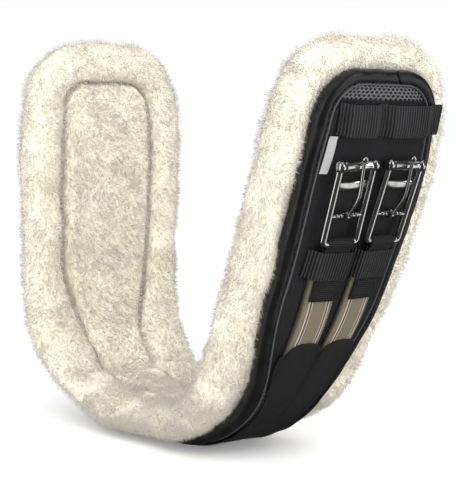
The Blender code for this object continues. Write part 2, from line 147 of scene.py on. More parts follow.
def width_at(s, table):
    reach = np.clip(from_end(s), 0.0, table[-1][0])
    starts = np.array([d for d, _ in table])
    widths = np.array([w for _, w in table])
    k = np.clip(np.searchsorted(starts, reach, side="right") - 1, 0, len(table) - 2)
    share = (reach - starts[k]) / (starts[k + 1] - starts[k])
    return widths[k] + (widths[k + 1] - widths[k]) * (1.0 - np.cos(math.pi * share)) / 2


def shell_half(s):
    return width_at(s, SHELL_WIDTHS)


def waist(s):
    return ease((from_end(s) - WAIST_FROM) / (WAIST_TO - WAIST_FROM))


def on_girth(s, y, h):
    """World places of points drawn flat at (s, y, h)."""
    s, y, h = (np.asarray(value, float) for value in (s, y, h))
    beyond = s - np.clip(s, 0.0, GIRTH_LENGTH)
    heading = np.interp(s, LINE_S, LINE_HEADING)
    x = np.interp(s, LINE_S, LINE_X) + np.cos(heading) * beyond
    z = np.interp(s, LINE_S, LINE_Z) + np.sin(heading) * beyond
    across = np.minimum(1.0, np.abs(y) / shell_half(s))
    crown = CROWN * (1.0 - across ** 2.2) * ease(from_end(s) / CROWN_RUN_OUT) * (1.0 - waist(s))
    outer = h + crown * np.clip(h / CORE_TOP, 0.0, 1.0)
    inner = h * (1.0 - FLEECE_SQUEEZE * waist(s))
    h = np.where(h > 0.0, outer, inner)
    return np.stack([x + np.sin(heading) * h, y + 0.0 * x, z - np.cos(heading) * h + FLOOR_HEIGHT], axis=-1)


def outward(s):
    heading = float(np.interp(s, LINE_S, LINE_HEADING))
    return Vector((math.sin(heading), 0.0, -math.cos(heading)))


def along(end, d):
    return GIRTH_LENGTH - d if end == "right" else d


def side_of(row):
    return -1.0 if row == "front" else 1.0


def strap_name(end, row):
    return "%s_%s" % (end, row)


def strap_y(row, d):
    return STRAP_OFFSET + side_of(row) * (STRAP_SPREAD + STRAP_SPLAY * (COVER_FROM - d))


# ================= Making and finishing meshes =================

def places(bm):
    return np.array([vert.co for vert in bm.verts]).reshape(-1, 3)


def move_to(bm, points):
    for vert, point in zip(bm.verts, points):
        vert.co = point
    bm.normal_update()


def fresh_verts(made):
    return [item for item in made if isinstance(item, bmesh.types.BMVert)]


def double(bm, shift):
    """Copy everything and move the copy."""
    made = bmesh.ops.duplicate(bm, geom=bm.verts[:] + bm.edges[:] + bm.faces[:])["geom"]
    bmesh.ops.translate(bm, verts=fresh_verts(made), vec=shift)


def close_up(bm):
    """Merge what meets and turn the faces outwards."""
    bmesh.ops.remove_doubles(bm, verts=bm.verts, dist=1e-6)
    bmesh.ops.recalc_face_normals(bm, faces=bm.faces)


def lay_on_girth(bm):
    """Bend a flat form round the girth's line and close it."""
    flat = places(bm)
    move_to(bm, on_girth(flat[:, 0], flat[:, 1], flat[:, 2]))
    close_up(bm)


def cloth_grid(columns, rows):
    """A flat grid with a UV map, and the share of each corner along it and across it."""
    bm = bmesh.new()
    bm.loops.layers.uv.new("cloth")
    bmesh.ops.create_grid(bm, x_segments=columns, y_segments=rows, size=0.5, calc_uvs=True)
    flat = places(bm)
    low, high = flat.min(axis=0), flat.max(axis=0)
    return bm, (flat[:, 0] - low[0]) / (high[0] - low[0]), (flat[:, 1] - low[1]) / (high[1] - low[1])


def second_face(bm):
    """Double a flat grid for a closed form's lower face: shares along and across, and which face is upper."""
    double(bm, (0, 0, -1))
    flat = places(bm)
    low, high = flat.min(axis=0), flat.max(axis=0)
    shares = (flat - low) / (high - low)
    return shares[:, 0], shares[:, 1], shares[:, 2] > 0.5


def many(bm, doublings):
    """Double a small shape again and again, COPY_GAP apart along X: each point's copy number and own place."""
    for step in range(doublings):
        double(bm, (COPY_GAP * 2 ** step, 0, 0))
    spread = places(bm)
    number = np.floor((spread[:, 0] + COPY_GAP / 2) / COPY_GAP).astype(int)
    spread[:, 0] -= COPY_GAP * number
    return number, spread


def scale_cloth(bm, length, width):
    """Give the UV map the cloth's real size in metres, so that a weave keeps its pitch."""
    layer = bm.loops.layers.uv.active
    for face in bm.faces:
        for loop in face.loops:
            u, v = loop[layer].uv
            loop[layer].uv = (u * length, v * width)


def finish_piece(name, bm, material, body=None, smooth=180.0, replaces=()):
    """Make the bmesh an object with its material, and let it ride on its body."""
    mesh = bpy.data.meshes.new(name)
    bm.to_mesh(mesh)
    bm.free()
    mesh.materials.append(material)
    mesh.shade_smooth()
    if smooth < 180.0:
        mesh.set_sharp_from_angle(angle=math.radians(smooth))
    piece = bpy.data.objects.new(name, mesh)
    bpy.context.scene.collection.objects.link(piece)
    if body:
        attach(piece, body)
    if replaces:
        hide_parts(*replaces)
    return piece


def apply_modifiers(piece):
    evaluated = piece.evaluated_get(bpy.context.evaluated_depsgraph_get())
    made = bpy.data.meshes.new_from_object(evaluated)
    old = piece.data
    piece.modifiers.clear()
    piece.data = made
    bpy.data.meshes.remove(old)


def mesh_places(mesh):
    flat = np.zeros(len(mesh.vertices) * 3)
    mesh.vertices.foreach_get("co", flat)
    return flat.reshape(-1, 3)


def mesh_normals(mesh):
    flat = np.zeros(len(mesh.vertices) * 3)
    mesh.vertices.foreach_get("normal", flat)
    return flat.reshape(-1, 3)


def set_places(mesh, points):
    mesh.vertices.foreach_set("co", np.asarray(points, np.float32).ravel())
    mesh.update()


# ================= Materials =================

class Value:
    """A number or colour that runs through a material's nodes. Sums on values add their Math nodes."""

    def __init__(self, finish, socket):
        self.finish = finish
        self.socket = socket

    def sum_node(self, operation, first, second=0.0):
        return self.finish.node("ShaderNodeMath", {"operation": operation}, {0: first, 1: second})

    def __add__(self, other):
        return self.sum_node("ADD", self, other)

    def __radd__(self, other):
        return self.sum_node("ADD", other, self)

    def __sub__(self, other):
        return self.sum_node("SUBTRACT", self, other)

    def __rsub__(self, other):
        return self.sum_node("SUBTRACT", other, self)

    def __mul__(self, other):
        return self.sum_node("MULTIPLY", self, other)

    def __rmul__(self, other):
        return self.sum_node("MULTIPLY", other, self)

    def __pow__(self, other):
        return self.sum_node("POWER", self, other)

    def __abs__(self):
        return self.sum_node("ABSOLUTE", self)

    def cos(self):
        return self.sum_node("COSINE", self)

    def at_most(self, other):
        return self.sum_node("MINIMUM", self, other)

    def at_least(self, other):
        return self.sum_node("MAXIMUM", self, other)


class Finish:
    """A material in the making."""

    def __init__(self, name, colour, roughness, metallic=0.0, **constants):
        self.material = bpy.data.materials.new(name)
        self.material.use_nodes = True
        self.tree = self.material.node_tree
        self.shader = self.tree.nodes["Principled BSDF"]
        self.shader.inputs["Base Color"].default_value = (*colour, 1.0)
        self.shader.inputs["Roughness"].default_value = roughness
        self.shader.inputs["Metallic"].default_value = metallic
        for socket, value in constants.items():
            self.shader.inputs[socket.replace("_", " ")].default_value = value

    def feed(self, socket, value):
        if isinstance(value, Value):
            self.tree.links.new(value.socket, socket)
        else:
            socket.default_value = value

    def node(self, kind, settings, sockets, output=0):
        made = self.tree.nodes.new(kind)
        for name, value in settings.items():
            setattr(made, name, value)
        for key, value in sockets.items():
            self.feed(made.inputs[key], value)
        return Value(self, made.outputs[output])

    def object_place(self, scale=(1.0, 1.0, 1.0)):
        place = self.node("ShaderNodeTexCoord", {}, {}, "Object")
        return self.node("ShaderNodeMapping", {}, {"Vector": place, "Scale": scale})

    def cloth(self):
        """Metres along and across the piece's own cloth."""
        flat = self.node("ShaderNodeUVMap", {"uv_map": "cloth"}, {})
        split = self.node("ShaderNodeSeparateXYZ", {}, {"Vector": flat}).socket.node
        return Value(self, split.outputs["X"]), Value(self, split.outputs["Y"])

    def clouds(self, scale, detail=3.0, stretch=(1.0, 1.0, 1.0)):
        return self.node("ShaderNodeTexNoise", {}, {
            "Vector": self.object_place(stretch), "Scale": scale, "Detail": detail, "Roughness": 0.6}, "Fac")

    def blend_of(self, share, first, second):
        made = self.tree.nodes.new("ShaderNodeMix")
        made.data_type = "RGBA"
        self.feed(made.inputs["Factor"], share)
        for socket, colour in ((made.inputs[6], first), (made.inputs[7], second)):
            self.feed(socket, colour if isinstance(colour, Value) else (*colour, 1.0))
        return Value(self, made.outputs[2])

    def colour(self, value):
        self.feed(self.shader.inputs["Base Color"], value)
        return self

    def roughness(self, value):
        self.feed(self.shader.inputs["Roughness"], value)
        return self

    def relief(self, height, depth):
        """Bump of a height from 0 to 1 and a depth in metres."""
        bump = self.node("ShaderNodeBump", {}, {"Height": height, "Distance": depth, "Strength": 1.0})
        self.feed(self.shader.inputs["Normal"], bump)
        return self


def share_between(value, low, high):
    """0 below low, 1 above high, straight in between."""
    return ((value - low) * (1.0 / (high - low))).at_least(0.0).at_most(1.0)


def fleece_finish(name, light, deep):
    made = Finish(name, light, 0.95, Sheen_Weight=0.35, Sheen_Roughness=0.6)
    patches = share_between(made.clouds(28.0, 4.0), 0.38, 0.66)
    curls = made.clouds(620.0, 3.0)
    tone = made.blend_of(patches, light, deep)
    # Painted shade: where the curls noise is low, in the hollows of the relief, the colour goes to a darker
    # copy of the deep tone.
    shade = share_between(curls, 0.35, 0.62)
    made.colour(made.blend_of(shade, [c * 0.93 for c in deep], tone))
    made.relief(curls + 0.5 * made.clouds(1500.0, 1.0), 0.0007)
    return made.material


def mesh_finish():
    """Spacer mesh: a honeycomb of small holes in a grey knit, the holes dark with painted shade."""
    made = Finish("spacer_mesh", (0.12, 0.12, 0.125), 0.8)
    u, v = made.cloth()
    turn = 2.0 * math.pi / 0.0041
    cells = (turn * u).cos() + (turn * (0.866 * v - 0.5 * u)).cos() + (turn * (0.866 * v + 0.5 * u)).cos()
    holes = share_between(cells, -0.4, 1.4)
    knit = made.clouds(1400.0, 2.0)
    grey = made.blend_of(share_between(knit, 0.3, 0.7), (0.045, 0.045, 0.048), (0.18, 0.18, 0.187))
    # Painted shade: the holes are painted near black for the shade inside them.
    made.colour(made.blend_of(holes, grey, (0.006, 0.006, 0.007)))
    made.relief(1.0 - holes + 0.25 * knit, 0.0012)
    return made.material


def smooth_black_finish():
    """Smooth coated binding with a fine grain and random rubbed patches."""
    made = Finish("smooth_binding", (0.006, 0.006, 0.007), 0.40, Specular_IOR_Level=0.40)
    grain = made.clouds(900.0, 3.0)
    wear = share_between(made.clouds(45.0, 4.0), 0.45, 0.75)
    made.colour(made.blend_of(wear, (0.0045, 0.0045, 0.005), (0.011, 0.011, 0.012)))
    made.roughness(0.27 + 0.14 * wear + 0.08 * grain)
    made.relief(grain, 0.00018)
    return made.material


def woven_finish(name, colour, highlight, pitch):
    """Plain weave of a pitch in metres: raised threads that cross."""
    made = Finish(name, colour, 0.72)
    u, v = made.cloth()
    turn = 2.0 * math.pi / pitch
    over = (turn * u).cos() * (turn * v).cos()
    threads = 0.5 + 0.5 * over
    fade = made.clouds(70.0, 4.0)
    # Painted highlight: the raised threads are painted lighter, brightest where the glint specks fall; the
    # same highlight colour also tints random faded patches.
    glint_specks = share_between(made.clouds(850.0, 2.0), 0.56, 0.70)
    thread_colour = made.blend_of(threads * (0.5 + 0.5 * glint_specks), colour, [c * 2.6 for c in highlight])
    made.colour(made.blend_of(0.5 * share_between(fade, 0.45, 0.8), thread_colour, highlight))
    made.relief(threads, 0.00035)
    return made.material


def webbing_finish(name, colour, highlight, fine, rib):
    """Webbing whose ribs are in the mesh, with painted shade between the ribs, a painted highlight on their
    crests, and fine yarns on them.
    """
    made = Finish(name, colour, 0.60)
    u, v = made.cloth()
    crest = (0.5 - 0.5 * (2.0 * math.pi / rib * u).cos()) ** 1.5
    yarns = 0.5 + 0.5 * (2.0 * math.pi / fine * v).cos() * (2.0 * math.pi / (2.2 * fine) * u).cos()
    fade = made.clouds(120.0, 4.0)
    # Painted shade and highlight: dark in the valleys between the ribs and lighter on their crests; the
    # highlight colour also tints random faded patches.
    shade = made.blend_of(crest * (0.45 + 0.55 * yarns), colour, [c * 2.2 for c in highlight])
    made.colour(made.blend_of(0.4 * share_between(fade, 0.4, 0.8), shade, highlight))
    made.relief(crest + 0.3 * yarns, 0.0005)
    return made.material


def elastic_finish():
    """Olive twill elastic with a pair of pale lines and a dark line near each edge."""
    made = Finish("twill_elastic", (0.16, 0.14, 0.085), 0.75)
    u, v = made.cloth()
    twill = 0.5 + 0.5 * (2.0 * math.pi / 0.0016 * (u + v)).cos()
    cross = 0.5 + 0.5 * (2.0 * math.pi / 0.0011 * (u - 0.6 * v)).cos()
    olive = made.blend_of(twill, (0.085, 0.074, 0.045), (0.235, 0.205, 0.135))
    edge = 0.5 * ELASTIC_WIDTH - abs(v - 0.5 * ELASTIC_WIDTH)
    pale = (0.0007 - abs(edge - 0.0062)).at_least(0.0) * (1.0 / 0.0004)
    second = (0.0006 - abs(edge - 0.0088)).at_least(0.0) * (1.0 / 0.0004)
    dark = (0.0007 - abs(edge - 0.0075)).at_least(0.0) * (1.0 / 0.0003)
    rim = share_between(edge, 0.0010, 0.0024)
    lined = made.blend_of(dark.at_most(1.0), olive, (0.035, 0.024, 0.018))
    lined = made.blend_of(pale.at_most(1.0), lined, (0.52, 0.42, 0.38))
    lined = made.blend_of(second.at_most(1.0), lined, (0.42, 0.35, 0.30))
    made.colour(made.blend_of(rim, (0.060, 0.052, 0.034), lined))
    made.relief(twill + 0.4 * cross, 0.00035)
    return made.material


def satin_finish():
    made = Finish("silver_satin", (0.32, 0.32, 0.315), 0.38, Sheen_Weight=0.3)
    u, v = made.cloth()
    rows = 0.5 + 0.5 * (2.0 * math.pi / 0.0009 * u).cos()
    made.colour(made.blend_of(rows, (0.25, 0.25, 0.25), (0.40, 0.40, 0.395)))
    made.relief(rows, 0.0001)
    return made.material


def steel_finish(name, roughness, colour):
    """Polished stainless steel with faint rubbing."""
    made = Finish(name, colour, roughness, metallic=1.0)
    rub = made.clouds(260.0, 3.0, (1.0, 6.0, 1.0))
    marks = share_between(made.clouds(130.0, 5.0), 0.52, 0.75)
    made.roughness(roughness * 0.8 + 0.10 * rub + 0.14 * marks)
    made.colour(made.blend_of(marks, colour, [c * 0.78 for c in colour]))
    made.relief(rub, 0.00002)
    return made.material


def thread_finish(name, colour):
    made = Finish(name, colour, 0.6)
    twist = made.clouds(2500.0, 1.0)
    made.colour(made.blend_of(twist, [c * 0.6 for c in colour], [c * 1.5 for c in colour]))
    made.relief(twist, 0.0001)
    return made.material


FLEECE = fleece_finish("cream_fleece", (0.89, 0.85, 0.735), (0.82, 0.765, 0.615))
PILE = fleece_finish("cream_pile", (0.885, 0.855, 0.765), (0.815, 0.77, 0.645))
SPACER_MESH = mesh_finish()
BINDING_BLACK = smooth_black_finish()
PATCH_NYLON = woven_finish("patch_nylon", (0.0035, 0.0035, 0.004), (0.013, 0.013, 0.015), 0.0012)
COVER_NYLON = woven_finish("cover_nylon", (0.004, 0.004, 0.0045), (0.011, 0.011, 0.012), 0.0010)
BLACK_WEBBING = webbing_finish("black_webbing", (0.003, 0.003, 0.003), (0.021, 0.021, 0.023), 0.0010,
                               RIB_PITCH)
TAB_WEBBING = webbing_finish("tab_webbing", (0.003, 0.003, 0.003), (0.012, 0.012, 0.013), 0.0008, 0.0019)
OLIVE_ELASTIC = elastic_finish()
SILVER_SATIN = satin_finish()
FRAME_STEEL = steel_finish("frame_steel", 0.12, (0.56, 0.55, 0.54))
ROLLER_STEEL = steel_finish("roller_steel", 0.10, (0.68, 0.67, 0.66))
TONGUE_STEEL = steel_finish("tongue_steel", 0.14, (0.56, 0.55, 0.54))
BLACK_THREAD = thread_finish("black_thread", (0.020, 0.020, 0.021))
GREY_CORD = thread_finish("grey_piping", (0.060, 0.060, 0.064))


# ================= Shapes round the girth's edge =================

def rim(offset, side_step, corner_points):
    """Closed outline round the girth at an offset from the shell's edge, as arrays of s and y."""
    spread = 1.0
    sides = np.linspace(CORNER_RADIUS, GIRTH_LENGTH - CORNER_RADIUS,
                        int(round((GIRTH_LENGTH - 2 * CORNER_RADIUS) / side_step)) + 1)
    if offset > 0.0:
        spread = (width_at(sides, FLEECE_WIDTHS) - shell_half(sides)) / ROLL_OUTER
    centre_y = float(shell_half(np.float64(CORNER_RADIUS))) - CORNER_RADIUS
    reach = CORNER_RADIUS + offset
    angle = np.linspace(0.0, math.pi / 2, corner_points, endpoint=False)
    corner_s = CORNER_RADIUS - reach * np.cos(angle)
    corner_y = centre_y + reach * np.sin(angle)
    flats = np.linspace(0.0, centre_y, max(2, int(centre_y / side_step)), endpoint=False)
    half_s = np.concatenate([np.full(len(flats), -offset), corner_s])
    half_y = np.concatenate([flats, corner_y])
    upper_s = np.concatenate([half_s, sides, (GIRTH_LENGTH - half_s)[::-1]])
    upper_y = np.concatenate([half_y, shell_half(sides) + offset * spread, half_y[::-1]])
    return np.concatenate([upper_s, upper_s[-2:0:-1]]), np.concatenate([upper_y, -upper_y[-2:0:-1]])


def rim_form(section, side_step, corner_points):
    """A closed section of (offset, height) points carried once round the girth's outline, still flat."""
    outlines = [rim(offset, side_step, corner_points) for offset, _ in section]
    count = len(outlines[0][0])
    rows = len(section)
    bm, u, v = cloth_grid(count, rows)
    around = np.rint(u * count).astype(int) % count
    step = np.rint(v * rows).astype(int) % rows
    s = np.array([outline[0] for outline in outlines])
    y = np.array([outline[1] for outline in outlines])
    h = np.array([height for _, height in section])
    move_to(bm, np.stack([s[step, around], y[step, around], h[step]], axis=-1))
    first_s, first_y = outlines[0]
    length = float(np.hypot(np.diff(first_s), np.diff(first_y)).sum())
    ring = np.array(section + section[:1])
    scale_cloth(bm, length, float(np.hypot(*np.diff(ring, axis=0).T).sum()))
    return bm


def oval(centre, half, count, power=1.0):
    """A round or boxy oval section as (offset, height) points."""
    points = []
    for k in range(count):
        angle = 2 * math.pi * k / count
        c, s = math.cos(angle), math.sin(angle)
        points.append((centre[0] + half[0] * math.copysign(abs(c) ** power, c),
                       centre[1] + half[1] * math.copysign(abs(s) ** power, s)))
    return points


def soften(points, step, rounds):
    """Fill a path with points a step apart and round its corners off."""
    path = [np.array(points[0], float)]
    for start, stop in zip(points, points[1:]):
        start, stop = np.array(start, float), np.array(stop, float)
        count = max(1, int(round(np.linalg.norm(stop - start) / step)))
        path += [start + (stop - start) * (k + 1) / count for k in range(count)]
    path = np.array(path)
    for _ in range(rounds):
        path[1:-1] = (path[:-2] + 2 * path[1:-1] + path[2:]) / 4
    return path


# ================= Fleece =================

def swell(piece, pressure, cap):
    """Blow a closed form up as its stuffing does, and keep each point within the cap of where it was."""
    start = mesh_places(piece.data)
    cloth = piece.modifiers.new("swell", "CLOTH")
    cloth.settings.quality = 5
    cloth.settings.mass = 0.3
    cloth.settings.use_pressure = True
    cloth.settings.uniform_pressure_force = pressure
    cloth.settings.tension_stiffness = 8.0
    cloth.settings.compression_stiffness = 8.0
    cloth.settings.bending_stiffness = 0.3
    cloth.settings.effector_weights.gravity = 0.0
    cloth.collision_settings.use_collision = False
    cloth.collision_settings.use_self_collision = False
    scene = bpy.context.scene
    for step in range(CLOTH_FRAMES):
        scene.frame_set(step + 1)
    evaluated = piece.evaluated_get(bpy.context.evaluated_depsgraph_get())
    moved = mesh_places(evaluated.data) - start
    length = np.linalg.norm(moved, axis=1, keepdims=True)
    moved *= np.minimum(1.0, cap / np.maximum(length, 1e-9))
    piece.modifiers.clear()
    scene.frame_set(1)
    set_places(piece.data, start + moved)


def finish_padded(piece, levels, waves, replaces):
    subdivide(piece, levels)
    ruffle(piece, waves)
    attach(piece, "girth")
    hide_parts(replaces)
    return piece


def subdivide(piece, levels):
    step = piece.modifiers.new("smooth", "SUBSURF")
    step.levels = levels
    step.render_levels = levels
    apply_modifiers(piece)


def ruffle(piece, waves):
    """Move a mesh's points along their normals by soft noise: (size in metres, depth in metres) pairs."""
    points = mesh_places(piece.data)
    normals = mesh_normals(piece.data)
    rise = np.zeros(len(points))
    for size, depth in waves:
        scaled = points / size
        rise += depth * np.array([noise.noise(Vector(p)) for p in scaled])
    set_places(piece.data, points + normals * rise[:, None])
    piece.data.shade_smooth()


FOLD_AT = 0.322
FOLD_WIDTH = 0.0075
FOLD_DEPTH = 0.015
PLUMP_APART = 0.022
PLUMP_WIDTH = 0.020
ROLL_FOLD_SHARE = 0.35


def fold(s, h):
    """The fleece folds in across the inside of the tight bend."""
    near = np.exp(-((s - FOLD_AT) / FOLD_WIDTH) ** 2)
    plump = (np.exp(-((s - FOLD_AT - PLUMP_APART) / PLUMP_WIDTH) ** 2)
             + np.exp(-((s - FOLD_AT + PLUMP_APART) / PLUMP_WIDTH) ** 2))
    inside = np.clip((-h - 0.012) / 0.012, 0.0, 1.0)
    return h + (FOLD_DEPTH * near - 0.0022 * plump) * inside


def make_fleece_roll():
    section = []
    for offset, height in oval((0.0055, -0.0150), (0.0181, 0.0158), 18, 0.86):
        beside_binding = float(ease((offset - 0.0020) / 0.0060) * ease((height + 0.012) / 0.010))
        section.append((offset, height + 0.0045 * beside_binding))
    bm = rim_form(section, 0.0055, 12)
    close_up(bm)
    flat = places(bm)
    s, y, h = flat.T
    move_to(bm, np.stack([s, y, h + ROLL_FOLD_SHARE * (fold(s, h) - h)], axis=-1))
    lay_on_girth(bm)
    piece = finish_piece("fleece_roll", bm, FLEECE)
    swell(piece, 2.5, 0.0025)
    waves = ((0.060, 0.0024), (0.022, 0.0017), (0.009, 0.0009), (0.0040, 0.0004))
    return finish_padded(piece, 2, waves, "fleece_edge_roll")


def panel_half(s, inset, radius):
    """Half width of a panel that follows the shell's outline at an inset, with round corners."""
    d = from_end(s) - inset
    side = shell_half(s) - inset
    into = np.clip(radius - d, 0.0, radius)
    return side - radius + np.sqrt(np.maximum(radius ** 2 - into ** 2, 0.0))


def quilt(half, start, stop, columns, rows, low, high, edge, edge_h=None):
    """A closed padded panel: two faces that meet at a round edge. low and high are functions of s and y."""
    bm, u, v = cloth_grid(columns, rows)
    scale_cloth(bm, stop - start, 2.0 * float(np.max(half(np.linspace(start, stop, 50)))))
    u, v, upper = second_face(bm)
    bend = (u - 0.5) * 2.0
    s = start + (stop - start) * (0.5 + 0.5 * (0.55 * bend + 0.45 * np.sin(math.pi / 2 * bend)))
    across = np.sin(math.pi / 2 * (v - 0.5) * 2.0 * 0.8) / math.sin(math.pi / 2 * 0.8)
    y = half(s) * across
    inward = np.minimum(half(s) * (1.0 - np.abs(across)), np.minimum(s - start, stop - s))
    share = np.clip(inward / edge, 0.0, 1.0)
    rise = np.sqrt(1.0 - (1.0 - share) ** 2)
    floor, top = low(s, y), high(s, y)
    middle = (floor + top) / 2 if edge_h is None else edge_h
    h = np.where(upper, middle + (top - middle) * rise, middle + (floor - middle) * rise)
    move_to(bm, np.stack([s, y, h], axis=-1))
    close_up(bm)
    return bm


def make_fleece_panel():
    inset = 0.0105
    bm = quilt(lambda s: panel_half(s, inset, 0.026), inset, GIRTH_LENGTH - inset, 124, 20,
               lambda s, y: -0.0004 + 0 * s,
               lambda s, y: -0.0275 + 0.0022 * np.cos(math.pi / 2 * y / 0.06) + 0 * s, 0.011, -0.010)
    flat = places(bm)
    s, y, h = flat.T
    move_to(bm, np.stack([s, y, fold(s, h)], axis=-1))
    lay_on_girth(bm)
    piece = finish_piece("fleece_lining", bm, FLEECE)
    swell(piece, 1.5, 0.0015)
    waves = ((0.050, 0.0018), (0.018, 0.0010), (0.008, 0.0006), (0.0040, 0.0003))
    return finish_padded(piece, 2, waves, "fleece_panel")


# Where the pile is parted into pieces, along X.
LEFT_LEG = -0.10
RIGHT_LEG = 0.09
LINING_SPLIT = -0.06
FAR = 1.0


def between(low, high, below=FAR):
    """A test of places: X between two values, and Z below a height."""
    return lambda p: (p[:, 0] >= low) & (p[:, 0] < high) & (p[:, 2] < below)


TUFT_DOUBLINGS = 15
TUFT_LENGTH = (0.0038, 0.0074)
TUFT_RADIUS = 0.00034
TUFT_ROOT = 0.0007


def make_pile(name, ground, keep, seed):
    """Short tufts that stand on a fleece piece: one three-sided tuft, doubled until there are enough."""
    mesh = ground.data
    mesh.calc_loop_triangles()
    points = mesh_places(mesh)
    normals = mesh_normals(mesh)
    corners = np.zeros(len(mesh.loop_triangles) * 3, int)
    mesh.loop_triangles.foreach_get("vertices", corners)
    corners = corners.reshape(-1, 3)
    middle = points[corners].mean(axis=1)
    corners = corners[keep(middle)]
    a, b, c = points[corners[:, 0]], points[corners[:, 1]], points[corners[:, 2]]
    areas = np.linalg.norm(np.cross(b - a, c - a), axis=1)
    chance = np.random.default_rng(seed)
    count = 2 ** TUFT_DOUBLINGS
    chosen = chance.choice(len(corners), count, p=areas / areas.sum())
    one, two = chance.random(count), chance.random(count)
    flip = one + two > 1.0
    one, two = np.where(flip, 1.0 - one, one), np.where(flip, 1.0 - two, two)
    root = a[chosen] + (b - a)[chosen] * one[:, None] + (c - a)[chosen] * two[:, None]
    normal = normals[corners[chosen, 0]]
    lean = 0.20 * chance.normal(size=(count, 3)) + np.array([0.0, 0.0, -0.30])
    sway = np.array([noise.noise_vector(Vector(p) * 34.0) for p in root])
    direction = 0.8 * normal + lean + 1.1 * sway
    direction /= np.linalg.norm(direction, axis=1)[:, None]
    side = np.cross(direction, chance.normal(size=(count, 3)))
    side /= np.linalg.norm(side, axis=1)[:, None]
    third = np.cross(direction, side)
    reach = chance.uniform(*TUFT_LENGTH, count)
    thick = TUFT_RADIUS * chance.uniform(0.7, 1.3, count)

    bm = bmesh.new()
    bmesh.ops.create_cone(bm, cap_ends=True, segments=3, radius1=1.0, radius2=0.0, depth=1.0)
    number, local = many(bm, TUFT_DOUBLINGS)
    world = (root - TUFT_ROOT * normal)[number]
    world += local[:, 0:1] * (side * thick[:, None])[number]
    world += local[:, 1:2] * (third * thick[:, None])[number]
    world += (local[:, 2:3] + 0.5) * (direction * reach[:, None])[number]
    move_to(bm, world)
    finish_piece(name, bm, PILE, "girth")


# ================= Shell, binding, patches =================

def make_shell():
    inset = 0.0018
    bm = quilt(lambda s: panel_half(s, inset, CORNER_RADIUS - inset), inset, GIRTH_LENGTH - inset, 220, 30,
               lambda s, y: 0.0003 + 0 * s, lambda s, y: MESH_TOP + 0 * s, 0.004)
    lay_on_girth(bm)
    piece = finish_piece("mesh_padding", bm, SPACER_MESH, "girth",
                         replaces=("foam_core", "mesh_shell"))


def make_binding():
    """Soft bound edge: full and round outside, turned in over the shell, with a dip along its stitching."""
    corners = [(-0.0090, 0.0106), (-0.0090, 0.0114), (-0.0076, 0.0121), (-0.0050, 0.0131), (-0.0022, 0.0132),
               (0.0003, 0.0112), (0.0012, 0.0070), (0.0010, 0.0030), (0.0, 0.0004), (-0.0014, 0.0004),
               (-0.0014, 0.0093), (-0.0034, 0.0106), (-0.0090, 0.0106)]
    section = [tuple(point) for point in soften(corners, 0.0012, 2)[:-1]]
    bm = rim_form(section, 0.0040, 16)
    close_up(bm)
    lay_on_girth(bm)
    piece = finish_piece("bound_edge", bm, BINDING_BLACK)
    finish_padded(piece, 1, ((0.030, 0.0007), (0.011, 0.0004)), "edge_binding")

    bm = rim_form(oval((-0.0098, 0.0117), (0.0008, 0.0008), 8), 0.0040, 14)
    close_up(bm)
    lay_on_girth(bm)
    finish_piece("piping", bm, GREY_CORD, "girth")

    overlap = []
    for share in np.linspace(0.0, 1.0, 9):
        overlap.append((GIRTH_LENGTH + 0.0012 - 0.0098 * share, 0.010 + 0.007 * share ** 2,
                        0.0122 + 0.0010 * math.sin(math.pi * share)))
    bm = sweep(overlap, 0.0006, 0.0009, (0, 1, 0), 8)
    lay_on_girth(bm)
    finish_piece("binding_joint", bm, BINDING_BLACK, "girth")


def make_patch(end):
    """Woven wear patch with a folded edge."""
    inset = 0.0108
    radius = CORNER_RADIUS - inset

    def half(s):
        return panel_half(s, inset, radius)

    stops = sorted((along(end, PATCH[0]), along(end, PATCH[1])))
    bm, u, v = cloth_grid(140, 46)
    s = stops[0] + (stops[1] - stops[0]) * u
    y = half(s) * (2.0 * v - 1.0)
    inward = np.minimum(half(s) - np.abs(y), np.minimum(s - stops[0], stops[1] - s))
    hem = 0.0005 * np.exp(-((inward - 0.0018) / 0.0016) ** 2)
    ripple = np.array([noise.noise(Vector((a * 38.0, b * 38.0, 0.0))) for a, b in zip(s, y)])
    move_to(bm, np.stack([s, y, PATCH_TOP - 0.0002 + hem + 0.0003 * ripple], axis=-1))
    scale_cloth(bm, stops[1] - stops[0], 0.098)
    back_cloth(bm, 0.0008)
    lay_on_girth(bm)
    piece = finish_piece(end + "_patch", bm, PATCH_NYLON, "girth", 40.0,
                         (end + "_wear_patch",))
    middle = np.linspace(stops[0], stops[1], 60)
    2.0 * float(half(middle).mean()) * (PATCH[1] - PATCH[0])


def web_band(path, rows, widths, rib_pitch, rib_depth, thickness):
    """A band of webbing. The path is (run, height) points, and widths gives both edges at each of them."""
    path = np.asarray(path)
    runs = np.concatenate([[0.0], np.cumsum(np.hypot(*np.diff(path, axis=0).T))])
    columns = len(path) - 1
    bm, u, v = cloth_grid(columns, rows)
    k = np.rint(u * columns).astype(int)
    slope = np.gradient(path, axis=0)
    slope /= np.linalg.norm(slope, axis=1)[:, None]
    rib = rib_depth * (0.5 - 0.5 * np.cos(2 * math.pi * runs / rib_pitch))
    edge_thin = 0.35 * thickness * np.abs(2.0 * v - 1.0) ** 6
    run = path[k, 0] - slope[k, 1] * (rib[k] - edge_thin)
    height = path[k, 1] + slope[k, 0] * (rib[k] - edge_thin)
    low, high = widths(path[k, 0])
    scale_cloth(bm, float(runs[-1]), float(np.mean(high - low)))
    return bm, run, low + (high - low) * v, height


def back_cloth(bm, thickness):
    """Turn a flat cloth's faces outwards and give it its thickness."""
    bmesh.ops.recalc_face_normals(bm, faces=bm.faces)
    if bm.faces[:][0].normal.z < 0:
        bmesh.ops.reverse_faces(bm, faces=bm.faces)
    bmesh.ops.solidify(bm, geom=bm.faces[:], thickness=thickness)


def thicken(bm, thickness):
    """Give an open band its thickness."""
    bmesh.ops.recalc_face_normals(bm, faces=bm.faces)
    bmesh.ops.solidify(bm, geom=bm.faces[:], thickness=thickness)
    bmesh.ops.recalc_face_normals(bm, faces=bm.faces)


